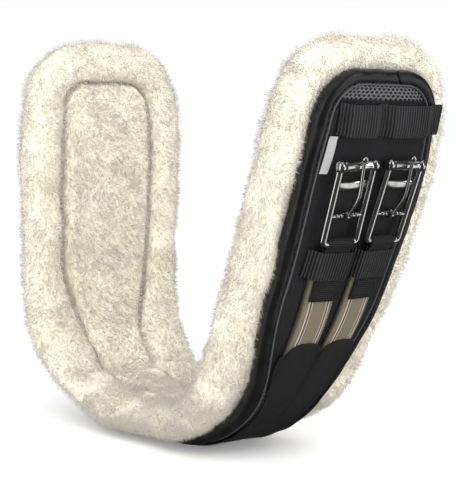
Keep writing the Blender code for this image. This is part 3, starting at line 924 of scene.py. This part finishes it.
def make_cross_band(name, end, d_range, path, replaces):
    """Webbing that runs across the girth and over what lies under it."""
    points = soften(path, RIB_PITCH / 5.0, 14)
    s_low, s_high = sorted((along(end, d_range[0]), along(end, d_range[1])))

    def widths(run):
        return s_low + 0 * run, s_high + 0 * run

    bm, y, s, h = web_band(points, 8, widths, RIB_PITCH, 0.00045, 0.0014)
    move_to(bm, np.stack([s, y, h + 0.0007], axis=-1))
    thicken(bm, 0.0013)
    lay_on_girth(bm)
    finish_piece(name, bm, BLACK_WEBBING, "girth", 50.0, (replaces,))


def make_guide(end):
    """Ribbed band with two passages for the billets: sewn down beside and between them."""
    raised = PATCH_TOP + 0.0070
    low = STRAP_BASE + 0.0003
    edge = 0.0134
    path = ((-0.0450, low), (-0.0415, low), (-0.037, raised), (-0.012, raised), (-0.005, low), (0.000, low),
            (0.007, raised), (0.044, raised), (0.053, edge), (0.0632, edge))
    make_cross_band(end + "_guide_band", end, GUIDE, path, end + "_billet_guide")


def make_keeper(end, row):
    """Ribbed band over one strap, sewn down on both sides of it."""
    middle = strap_y(row, (KEEPER[0] + KEEPER[1]) / 2)
    side = side_of(row)
    half = 0.0173
    outer = middle + side * half
    inner = middle - side * half
    low = ELASTIC_UNDERSIDE
    top = 0.0193
    path = ((outer + side * 0.0068, low), (outer + side * 0.0036, low), (outer, top - 0.002),
            (outer - side * 0.003, top), (inner + side * 0.003, top), (inner, top - 0.002),
            (inner - side * 0.0018, low), (inner - side * 0.0040, low))
    stem = strap_name(end, row)
    make_cross_band(stem + "_keeper_band", end, KEEPER, sorted(path), stem + "_keeper")


def make_tab(end, row):
    """The webbing strip that loops round the bottom bar and comes back under the keeper."""
    stem = strap_name(end, row)
    loop = 0.0039
    lower, upper = 0.0160, 0.0173
    path = [(TAB_TO, lower), (BOTTOM_BAR_AT + 0.010, lower)]
    for k in range(13):
        angle = math.radians(-60.0 - 240.0 * k / 12)
        path.append((BOTTOM_BAR_AT + loop * math.cos(angle), BAR_HEIGHT + loop * math.sin(angle)))
    path += [(BOTTOM_BAR_AT + 0.011, upper + 0.0004), (TAB_TO, upper)]
    points = soften(path, 0.0005, 6)

    def widths(d):
        middle = strap_y(row, d)
        return middle - TAB_WIDTH / 2, middle + TAB_WIDTH / 2

    bm, d, y, h = web_band(points, 8, widths, 0.0019, 0.00022, 0.0011)
    move_to(bm, np.stack([along(end, d), y, h], axis=-1))
    thicken(bm, 0.0011)
    lay_on_girth(bm)
    finish_piece(stem + "_tab_web", bm, TAB_WEBBING, stem + "_strap", 50.0, (stem + "_tab",))


def make_elastic(end, row):
    """Crowned elastic from under the keeper to the cover."""
    stem = strap_name(end, row)
    start, stop = ELASTIC_FROM, COVER_FROM + 0.006
    bm, u, v = cloth_grid(96, 20)
    scale_cloth(bm, stop - start, ELASTIC_WIDTH)
    u, v, upper = second_face(bm)
    d = start + (stop - start) * u
    across = 2.0 * v - 1.0
    puff = 0.0018 * np.sin(math.pi * np.clip((d - TAB_TO + 0.006) / (COVER_FROM - TAB_TO), 0.0, 1.0)) ** 0.8
    thick = (0.0026 + puff) * (1.0 - np.abs(across) ** 4.0) ** 0.5
    h = np.where(upper, ELASTIC_UNDERSIDE + thick, ELASTIC_UNDERSIDE)
    y = strap_y(row, d) + across * ELASTIC_WIDTH / 2
    move_to(bm, np.stack([along(end, d), y, h], axis=-1))
    ends_apart(bm, upper, u)
    lay_on_girth(bm)
    piece = finish_piece(stem + "_elastic_strap", bm, OLIVE_ELASTIC,
                         replaces=(stem + "_elastic",))
    centre_point(end, row, COVER_FROM)
    centre_point(end, row, TAB_TO)
    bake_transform(piece)


def ends_apart(bm, upper, u):
    """Bring the two faces together at the strap's cut ends."""
    flat = places(bm)
    at_end = (u < 1e-6) | (u > 1.0 - 1e-6)
    flat[at_end & upper, 2] = ELASTIC_UNDERSIDE
    move_to(bm, flat)


def centre_point(end, row, d):
    return Vector(on_girth(along(end, d), strap_y(row, d), STRAP_BASE))


def cover_half(s):
    narrowing = ease((from_end(s) - COVER_FROM) / (WAIST_TO - COVER_FROM))
    return COVER_END_HALF + (COVER_BELLY_HALF - COVER_END_HALF) * narrowing


def lobe(y):
    """How far the cover's end reaches over each elastic."""
    front, rear = (np.clip(1.0 - np.abs((y - STRAP_OFFSET - side_of(row) * STRAP_SPREAD) / LOBE_HALF) ** 2.6,
                           0.0, 1.0) ** 0.5 for row in ROWS)
    return LOBE_REACH * np.maximum(front, rear)


def over_elastic(d):
    """1 where the cover lies over the elastics' ends, running out to 0 behind them."""
    return ease(1.0 - (d - COVER_FROM + COVER_RISE_LEAD) / COVER_RISE_RUN)


def make_cover():
    """Nylon cover over the webs that join both ends: two lobes at each end, and a folded edge."""
    bm, u, v = cloth_grid(260, 56)
    bend = 2.0 * u - 1.0
    half_length = GIRTH_LENGTH / 2 - COVER_FROM
    across = 2.0 * v - 1.0
    reach = half_length + lobe(across * COVER_END_HALF)
    s = GIRTH_LENGTH / 2 + bend * reach
    middle_shift = STRAP_OFFSET * (1.0 - waist(s))
    y = across * cover_half(s) + middle_shift
    inward = np.minimum(cover_half(s) * (1.0 - np.abs(across)), reach * (1.0 - np.abs(bend)))
    hem = 0.0006 * np.exp(-((inward - 0.0022) / 0.0018) ** 2)
    rise = 0.0022 * over_elastic(from_end(s))
    seam_share = ease(1.0 - (from_end(s) - COVER_FROM) / 0.060)
    seam = -0.0007 * np.exp(-((y - middle_shift) / 0.0012) ** 2) * seam_share
    strap_bulge = 0.0006 * np.cos(math.pi * (y - middle_shift) / STRAP_SPREAD) ** 2
    ripple = np.array([noise.noise(Vector((a * 60.0, b * 60.0, 3.0))) for a, b in zip(s, y)])
    h = COVER_BASE + 0.0006 + hem + rise + seam + 0.0004 * ripple - strap_bulge * (1.0 - waist(s))
    move_to(bm, np.stack([s, y, h], axis=-1))
    scale_cloth(bm, 2 * half_length, 0.077)
    back_cloth(bm, 0.0009)
    lay_on_girth(bm)
    piece = finish_piece("belly_cover", bm, COVER_NYLON, "girth", 40.0,
                         ("centre_cover", "front_load_web", "rear_load_web"))
    stations = np.linspace(COVER_FROM, GIRTH_LENGTH - COVER_FROM, 60)
    2.0 * float(cover_half(stations).mean()) * 2 * half_length + 0.0016


def make_belly_patch():
    low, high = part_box("belly_patch")
    bm = bmesh.new()
    size = high - low
    place = Matrix.Translation((low + high) / 2) @ Matrix.Diagonal((size.x, size.y, size.z, 1.0))
    bmesh.ops.create_cube(bm, size=1.0, matrix=place)
    upright = [e for e in bm.edges if abs(e.verts[0].co.z - e.verts[1].co.z) > size.z / 2]
    bmesh.ops.bevel(bm, geom=upright, offset=0.006, segments=5, profile=0.5, affect="EDGES", material=-1)
    level = [e for e in bm.edges if abs(e.verts[0].co.z - e.verts[1].co.z) < 1e-6]
    bmesh.ops.bevel(bm, geom=level, offset=0.0004, segments=2, profile=0.5, affect="EDGES", material=-1)
    close_up(bm)
    finish_piece("belly_rest_patch", bm, BINDING_BLACK, "girth", 40.0, ("belly_patch",))


def make_label():
    """Blank satin label with a folded end."""
    bm, u, v = cloth_grid(40, 10)
    d = LABEL[0] + (LABEL[1] - LABEL[0]) * u
    y = -0.0500 - 0.0025 * u + 0.0072 * v
    arch = 0.0009 * np.sin(math.pi * u) * (0.4 + 0.6 * v)
    h = STRAP_BASE + 0.0006 + arch + 0.0006 * np.exp(-(u / 0.05) ** 2)
    move_to(bm, np.stack([GIRTH_LENGTH - d, y, h], axis=-1))
    scale_cloth(bm, LABEL[1] - LABEL[0], 0.0072)
    thicken(bm, 0.0004)
    lay_on_girth(bm)
    finish_piece("satin_label", bm, SILVER_SATIN, "girth", 40.0, ("right_label",))


# ================= Stitching =================

def stitches(name, runs, body, pitch, length):
    """Rows of stitches: each run is an array of world points that its seam follows."""
    spots, aims = [], []
    for run in runs:
        run = np.asarray(run)
        steps = np.linalg.norm(np.diff(run, axis=0), axis=1)
        reach = np.concatenate([[0.0], np.cumsum(steps)])
        at = np.arange(pitch / 2, reach[-1], pitch)
        middle = np.stack([np.interp(at, reach, run[:, k]) for k in range(3)], axis=-1)
        ahead = np.stack([np.interp(at + length / 2, reach, run[:, k]) for k in range(3)], axis=-1)
        spots.append(middle)
        aims.append(ahead - middle)
    spots, aims = np.concatenate(spots), np.concatenate(aims)
    keep = np.linalg.norm(aims, axis=1) > 1e-6
    spots, aims = spots[keep], aims[keep]
    aims /= np.linalg.norm(aims, axis=1)[:, None]
    helper = np.cross(aims, (0.31, 0.83, 0.47))
    helper /= np.linalg.norm(helper, axis=1)[:, None]
    third = np.cross(aims, helper)
    bm = bmesh.new()
    bmesh.ops.create_icosphere(bm, subdivisions=1, radius=1.0)
    number, local = many(bm, int(math.ceil(math.log2(len(spots)))))
    spare = [vert for vert, k in zip(bm.verts, number) if k >= len(spots)]
    local = local[number < len(spots)]
    number = number[number < len(spots)]
    bmesh.ops.delete(bm, geom=spare, context="VERTS")
    world = spots[number] + local[:, 0:1] * aims[number] * length / 2
    world += (local[:, 1:2] * helper[number] + local[:, 2:3] * third[number]) * THREAD_RADIUS
    move_to(bm, world)
    finish_piece(name, bm, BLACK_THREAD, body)


def patch_runs(end):
    """Seams along both sides of an end's shell, and across its guide between the passages."""
    runs = []
    inset = 0.0135
    stops = np.linspace(PATCH[0] + 0.003, COVER_FROM + 0.03, 90)
    for side in (-1, 1):
        y = side * panel_half(stops, inset, CORNER_RADIUS - inset)
        runs.append(on_girth(along(end, stops), y, PATCH_TOP + 0.0006))
    for y, height in ((-0.0434, 0.0142), (-0.0022, 0.0142), (0.0050, 0.0142), (0.0480, 0.0152)):
        ends = [(along(end, GUIDE[0] + 0.0015), y, height), (along(end, GUIDE[1] - 0.0015), y, height)]
        path = soften(ends, 0.002, 0)
        runs.append(on_girth(path[:, 0], path[:, 1], path[:, 2]))
    return runs


def cover_side_run(side):
    s = GIRTH_LENGTH / 2 + np.linspace(COVER_FROM - GIRTH_LENGTH / 2, GIRTH_LENGTH / 2 - COVER_FROM, 160)
    y = side * (cover_half(s) - 0.0030) + STRAP_OFFSET * (1 - waist(s))
    return on_girth(s, y, COVER_BASE + 0.0016 + 0.0018 * over_elastic(from_end(s)))


def cover_end_runs(end):
    """The seam round the two lobes, and the double seam that parts them."""
    across = np.linspace(-COVER_END_HALF + 0.003, COVER_END_HALF - 0.003, 70)
    d = COVER_FROM - lobe(across) + 0.0032
    runs = [on_girth(along(end, d), across + STRAP_OFFSET, COVER_BASE + 0.0037)]
    d = np.linspace(COVER_FROM + 0.004, COVER_FROM + 0.045, 24)
    for off in (-0.0016, 0.0016):
        height = COVER_BASE + 0.0014 + 0.0016 * over_elastic(d)
        runs.append(on_girth(along(end, d), STRAP_OFFSET + off + 0 * d, height))
    return runs


def tab_runs(end, row):
    """A box of stitches that closes the tab's loop over the elastic."""
    top = 0.0177
    half = TAB_WIDTH / 2
    runs = []
    for off in (-half + 0.0026, half - 0.0026):
        d = np.linspace(KEEPER[1] + 0.002, TAB_TO - 0.002, 14)
        runs.append(on_girth(along(end, d), strap_y(row, d) + off, top))
    for d in (TAB_TO - 0.0024, KEEPER[1] + 0.0030):
        y = strap_y(row, d) + np.linspace(-half + 0.002, half - 0.002, 14)
        runs.append(on_girth(along(end, d) + 0 * y, y, top))
    return runs


def make_stitching():
    s, y = rim(-0.0078, 0.004, 14)
    runs = [on_girth(np.append(s, s[0]), np.append(y, y[0]), 0.0123)]
    for end in ENDS:
        runs += patch_runs(end)
    runs += [cover_side_run(side) for side in (-1, 1)]
    for end in ENDS:
        runs += cover_end_runs(end)
    stitches("girth_stitching", runs, "girth", 0.0036, 0.0024)
    for end in ENDS:
        for row in ROWS:
            stem = strap_name(end, row)
            stitches(stem + "_tab_stitching", tab_runs(end, row), stem + "_strap", 0.0026, 0.0018)


# ================= Buckles =================

def sweep(path, half_one, half_two, up, sides, swell_at=lambda share: 1.0):
    """Carry an oval section along a path by extruding it from point to point."""
    path = [Vector(point) for point in path]
    last = len(path) - 1
    up = Vector(up)
    frames = []
    for k, point in enumerate(path):
        tangent = (path[min(k + 1, last)] - path[max(k - 1, 0)]).normalized()
        side = tangent.cross(up).normalized()
        top = side.cross(tangent)
        grow = swell_at(k / last)
        section = Matrix((side * half_one * grow, top * half_two * grow, tangent)).transposed().to_4x4()
        section.translation = point
        frames.append(section)
    bm = bmesh.new()
    ring = bmesh.ops.create_circle(bm, cap_ends=False, radius=1.0, segments=sides)["verts"]
    bmesh.ops.transform(bm, matrix=frames[0], verts=ring)
    first = bm.edges[:]
    edges = first
    for before, after in zip(frames, frames[1:]):
        made = bmesh.ops.extrude_edge_only(bm, edges=edges)["geom"]
        edges = [item for item in made if isinstance(item, bmesh.types.BMEdge)
                 and all(v in made for v in item.verts)]
        bmesh.ops.transform(bm, matrix=after @ before.inverted(), verts=fresh_verts(made))
    bmesh.ops.edgeloop_fill(bm, edges=first)
    bmesh.ops.edgeloop_fill(bm, edges=edges)
    close_up(bm)
    return bm


def turned(profile, centre, sides):
    """A piece turned about X. The profile's (x, radius) points start and end on the axis, or meet."""
    bm = bmesh.new()
    verts = [bm.verts.new((x, radius, 0.0)) for x, radius in profile]
    edges = [bm.edges.new(pair) for pair in zip(verts, verts[1:])]
    bmesh.ops.spin(bm, geom=verts + edges, cent=(0, 0, 0), axis=(1, 0, 0), dvec=(0, 0, 0),
                   angle=2 * math.pi, steps=sides, use_merge=True, use_duplicate=False)
    bmesh.ops.translate(bm, verts=bm.verts, vec=centre)
    close_up(bm)
    return bm


def join(*parts):
    """Put several bmeshes in one."""
    whole = parts[0]
    for part in parts[1:]:
        mesh = bpy.data.meshes.new("part")
        part.to_mesh(mesh)
        part.free()
        whole.from_mesh(mesh)
        bpy.data.meshes.remove(mesh)
    return whole


def buckle_frame(end, row):
    """Matrix of a buckle about its bottom bar."""
    roller_d = BOTTOM_BAR_AT - ROLLER_ABOVE_BAR
    bar_point = Vector(on_girth(along(end, BOTTOM_BAR_AT), strap_y(row, BOTTOM_BAR_AT), BAR_HEIGHT))
    roller_point = Vector(on_girth(along(end, roller_d), strap_y(row, roller_d), BAR_HEIGHT + 0.0006))
    y_axis = (roller_point - bar_point).normalized()
    x_axis = y_axis.cross(outward(along(end, BOTTOM_BAR_AT))).normalized()
    z_axis = x_axis.cross(y_axis)
    matrix = Matrix((x_axis, y_axis, z_axis)).transposed().to_4x4()
    matrix.translation = bar_point
    return matrix


def bead(at, half, radius, neck):
    """The (x, radius) points over a bead of a half length, from neck to neck."""
    angles = [math.pi * k / 6 for k in range(7)]
    return [(at - half * math.cos(angle), neck + (radius - neck) * math.sin(angle)) for angle in angles]


PIN_RADIUS = 0.0017
PIVOT_RADIUS = 0.0019
PIVOT_NECK = 0.0016
BEADS_AT = (-0.0098, -0.0060, 0.0060, 0.0098)
FRAME_CORNER = 0.0030
EAR = ((-0.0033, 0.0), (-0.0033, 0.0028), (-0.0027, 0.0041), (-0.0012, 0.0048), (0.0010, 0.0048),
       (0.0024, 0.0042), (0.0032, 0.0028), (0.0033, 0.0))


def make_buckle(end, row):
    """Frame with ears, roller pin, beaded pivot bar and arched plate; then its roller and its tongue."""
    stem = strap_name(end, row)
    place = buckle_frame(end, row)
    half = FRAME_WIDTH / 2 - BAR_RADIUS
    corner = FRAME_CORNER
    path = [(-half, ROLLER_ABOVE_BAR + 0.0005, 0)]
    path += [(-half, ROLLER_ABOVE_BAR * (1 - share) + corner * share, 0) for share in (0.15, 0.5, 0.85)]
    for k in range(7):
        angle = math.pi + math.pi / 2 * k / 6
        path.append((-half + corner + corner * math.cos(angle), corner + corner * math.sin(angle), 0))
    path += [(-half * 0.5, 0, 0), (0, 0, 0)]
    path += [(-x, y, z) for x, y, z in reversed(path[:-1])]
    parts = [sweep(path, BAR_RADIUS, BAR_RADIUS * 0.93, (0, 0, 1), 20)]
    for side in (-1, 1):
        parts.append(turned(EAR, (side * half, ROLLER_ABOVE_BAR, 0), 24))
    pin = [(-half, 0.0), (-half, PIN_RADIUS), (half, PIN_RADIUS), (half, 0.0)]
    parts.append(turned(pin, (0, ROLLER_ABOVE_BAR, 0), 16))
    pivot = [(-half, 0.0), (-half, PIVOT_RADIUS), (-half + 0.0030, PIVOT_NECK)]
    for at in BEADS_AT:
        pivot += bead(at, 0.0013, 0.0025, PIVOT_NECK)
    pivot += [(half - 0.0030, PIVOT_NECK), (half, PIVOT_RADIUS), (half, 0.0)]
    parts.append(turned(pivot, (0, PIVOT_ABOVE_BAR, 0), 20))
    side_of_arch = [(1.0, 0.0010, -0.0006), (0.75, 0.0004, -0.0014), (0.4, -0.0004, -0.0024)]
    arch = [(-half * share, PLATE_ABOVE_BAR + up, out) for share, up, out in side_of_arch]
    arch.append((0, PLATE_ABOVE_BAR - 0.0008, -0.0028))
    arch += [(half * share, PLATE_ABOVE_BAR + up, out) for share, up, out in reversed(side_of_arch)]
    parts.append(sweep(soften(arch, 0.002, 2), 0.0034, 0.0009, (0, 0, 1), 16))
    whole = join(*parts)
    whole.transform(place)
    finish_piece(stem + "_frame", whole, FRAME_STEEL, stem + "_buckle", 45.0,
                 (stem + "_buckle_frame",))
    make_roller(stem, place)
    make_tongue(stem, place)


def make_roller(stem, place):
    """Tube with a raised collar at each end."""
    bore, body = 0.0021, 0.0040
    reach = ROLLER_WIDTH / 2
    collar = ((reach - 0.0028, body), (reach - 0.0022, ROLLER_RADIUS), (reach - 0.0006, ROLLER_RADIUS),
              (reach, 0.0036), (reach, bore))
    tube = [(-x, radius) for x, radius in reversed(collar)] + list(collar) + [(-reach, bore)]
    bm = turned(tube, (0, ROLLER_ABOVE_BAR, 0), 32)
    bm.transform(place)
    finish_piece(stem + "_roller_tube", bm, ROLLER_STEEL, stem + "_roller", 30.0,
                 (stem + "_roller",))


def make_tongue(stem, place):
    """Flat-sided tongue with a dog-leg, a curl round the pivot bar and a ball at its tip."""
    reach = ROLLER_ABOVE_BAR - PIVOT_ABOVE_BAR
    over = ROLLER_RADIUS + 0.0025
    shank = ((0.0010, 0.0030), (0.0060, 0.0042), (0.0110, 0.0068), (0.0165, 0.0090), (0.0240, 0.0094),
             (0.0320, over + 0.0012), (reach - 0.002, over + 0.0002), (reach + 0.0030, over - 0.0002),
             (reach + 0.0066, over - 0.0003))
    path = soften([(0, y, z) for y, z in shank], 0.002, 4)
    body = sweep(path, 0.0019, 0.0014, (1, 0, 0), 14, lambda share: 1.0 - 0.18 * share)
    ball = bmesh.new()
    bmesh.ops.create_uvsphere(ball, u_segments=20, v_segments=12, radius=0.0026,
                              matrix=Matrix.Translation((0, reach + 0.0078, over - 0.0003)))
    hub = [(-0.0025, 0.0022), (-0.0025, 0.0034), (-0.0018, 0.0039), (0.0018, 0.0039), (0.0025, 0.0034),
           (0.0025, 0.0022), (-0.0025, 0.0022)]
    whole = join(body, ball, turned(hub, (0, 0, 0), 24))
    whole.transform(place @ Matrix.Translation((0, PIVOT_ABOVE_BAR, 0)))
    finish_piece(stem + "_tongue_pin", whole, TONGUE_STEEL, stem + "_tongue", 45.0,
                 (stem + "_tongue",))


# ================= Floor, light and camera =================

AMBIENT = (0.26, 0.85)
AMBIENT_RISE = (0.10, 0.75)
MIRRORED = (0.06, 0.75)
MIRRORED_RISE = (0.55, 0.95)
MIRRORED_PANELS = (((-0.34, -0.93, -0.15), 1.6), ((0.60, 0.75, -0.36), 1.1))
PANEL_EDGE = (0.90, 0.96)


def make_floor():
    bm = bmesh.new()
    bmesh.ops.create_grid(bm, x_segments=1, y_segments=1, size=20.0)
    paper = Finish("studio_paper", (0.98, 0.98, 0.98), 0.9, Emission_Strength=0.22)
    paper.colour(paper.blend_of(paper.clouds(0.6, 2.0), (0.98, 0.98, 0.98), (1.0, 1.0, 0.995)))
    floor = finish_piece("studio_floor", bm, paper.material)
    floor.visible_glossy = False


def make_surroundings():
    """A white room. Cloth is lit by a dome, and steel mirrors a darker room with two bright panels."""
    world = bpy.data.worlds.new("studio")
    world.use_nodes = True
    nodes, links = world.node_tree.nodes, world.node_tree.links
    background = nodes["Background"]
    background.inputs["Color"].default_value = (1.0, 1.0, 1.0, 1.0)
    place = nodes.new("ShaderNodeTexCoord").outputs["Generated"]
    split = nodes.new("ShaderNodeSeparateXYZ")
    links.new(place, split.inputs["Vector"])

    def rise(value, start, result):
        made = nodes.new("ShaderNodeMapRange")
        made.interpolation_type = "SMOOTHSTEP"
        made.inputs["From Min"].default_value, made.inputs["From Max"].default_value = start
        made.inputs["To Min"].default_value, made.inputs["To Max"].default_value = result
        links.new(value, made.inputs["Value"])
        return made.outputs["Result"]

    def choose(ray, otherwise):
        made = nodes.new("ShaderNodeMapRange")
        links.new(rays.outputs[ray], made.inputs["Value"])
        links.new(otherwise, made.inputs["To Min"])
        return made

    shine = rise(split.outputs["Z"], MIRRORED_RISE, MIRRORED)
    for aim, strength in MIRRORED_PANELS:
        towards = nodes.new("ShaderNodeVectorMath")
        towards.operation = "DOT_PRODUCT"
        towards.inputs[1].default_value = Vector(aim).normalized()
        total = nodes.new("ShaderNodeMath")
        links.new(place, towards.inputs[0])
        links.new(rise(towards.outputs["Value"], PANEL_EDGE, (0.0, strength)), total.inputs[0])
        links.new(shine, total.inputs[1])
        shine = total.outputs["Value"]
    rays = nodes.new("ShaderNodeLightPath")
    glossy = choose("Is Glossy Ray", rise(split.outputs["Z"], AMBIENT_RISE, AMBIENT))
    links.new(shine, glossy.inputs["To Max"])
    seen = choose("Is Camera Ray", glossy.outputs["Result"])
    links.new(seen.outputs["Result"], background.inputs["Strength"])
    bpy.context.scene.world = world
    bpy.context.scene.view_settings.view_transform = "Standard"


def hang(thing, place, turn, mirrored=True):
    """Put a lamp or the camera in its place. A lamp that isn't mirrored leaves no highlight on steel."""
    holder = bpy.data.objects.new(thing.name, thing)
    holder.location = place
    holder.rotation_mode = "QUATERNION"
    holder.rotation_quaternion = turn
    holder.visible_glossy = mirrored
    bpy.context.scene.collection.objects.link(holder)
    return holder


def make_light(name, place, target, size, power, mirrored=True):
    lamp = bpy.data.lights.new(name, "AREA")
    lamp.shape = "RECTANGLE"
    lamp.size, lamp.size_y = size
    lamp.energy = power
    hang(lamp, place, (Vector(target) - Vector(place)).to_track_quat("-Z", "Y"), mirrored)


def make_sun(name, towards, strength, softness):
    sun = bpy.data.lights.new(name, "SUN")
    sun.energy = strength
    sun.angle = math.radians(softness)
    hang(sun, towards, Vector(towards).to_track_quat("Z", "Y"), False)


CAMERA_TURN = 37.61
CAMERA_DROP = 2.934
CAMERA_TARGET = (0.0566 - ORIGIN_X, 0.0, 0.2055)
CAMERA_DISTANCE = 1.2448


def make_camera():
    turn, drop = math.radians(CAMERA_TURN), math.radians(CAMERA_DROP)
    forward = Vector((-math.cos(turn) * math.cos(drop), math.sin(turn) * math.cos(drop), -math.sin(drop)))
    data = bpy.data.cameras.new("camera")
    data.lens = 107.3
    data.sensor_width = 36.0
    data.shift_y = -0.0551
    place = Vector(CAMERA_TARGET) - forward * CAMERA_DISTANCE
    bpy.context.scene.camera = hang(data, place, forward.to_track_quat("-Z", "Y"))


make_floor()
make_surroundings()
make_camera()
make_sun("sky_key", (0.95, -0.85, 1.05), 1.3, 34.0)
make_light("left_softbox", (0.5, -1.6, 0.9), (0.0, 0.0, 0.2), (0.7, 1.2), 6.0)
make_light("right_strip", (1.7, 0.7, 0.8), (0.1, 0.0, 0.2), (0.25, 1.3), 7.0)
make_light("front_fill", (1.8, -0.5, 0.7), (0.0, 0.0, 0.2), (1.2, 1.2), 12.0, mirrored=False)

roll = make_fleece_roll()
lining = make_fleece_panel()
make_shell()
make_binding()
for end_name in ENDS:
    make_patch(end_name)
    make_guide(end_name)
    for row_name in ROWS:
        make_keeper(end_name, row_name)
        make_tab(end_name, row_name)
        make_elastic(end_name, row_name)
        make_buckle(end_name, row_name)
make_cover()
make_belly_patch()
make_label()
make_stitching()
make_pile("left_roll_pile", roll, between(-FAR, LEFT_LEG), 11)
make_pile("belly_roll_pile", roll, between(LEFT_LEG, RIGHT_LEG, 0.2), 12)
make_pile("right_roll_pile", roll, between(RIGHT_LEG, FAR), 13)
make_pile("left_lining_pile", lining, between(-FAR, LINING_SPLIT), 14)
make_pile("right_lining_pile", lining, between(LINING_SPLIT, FAR), 15)
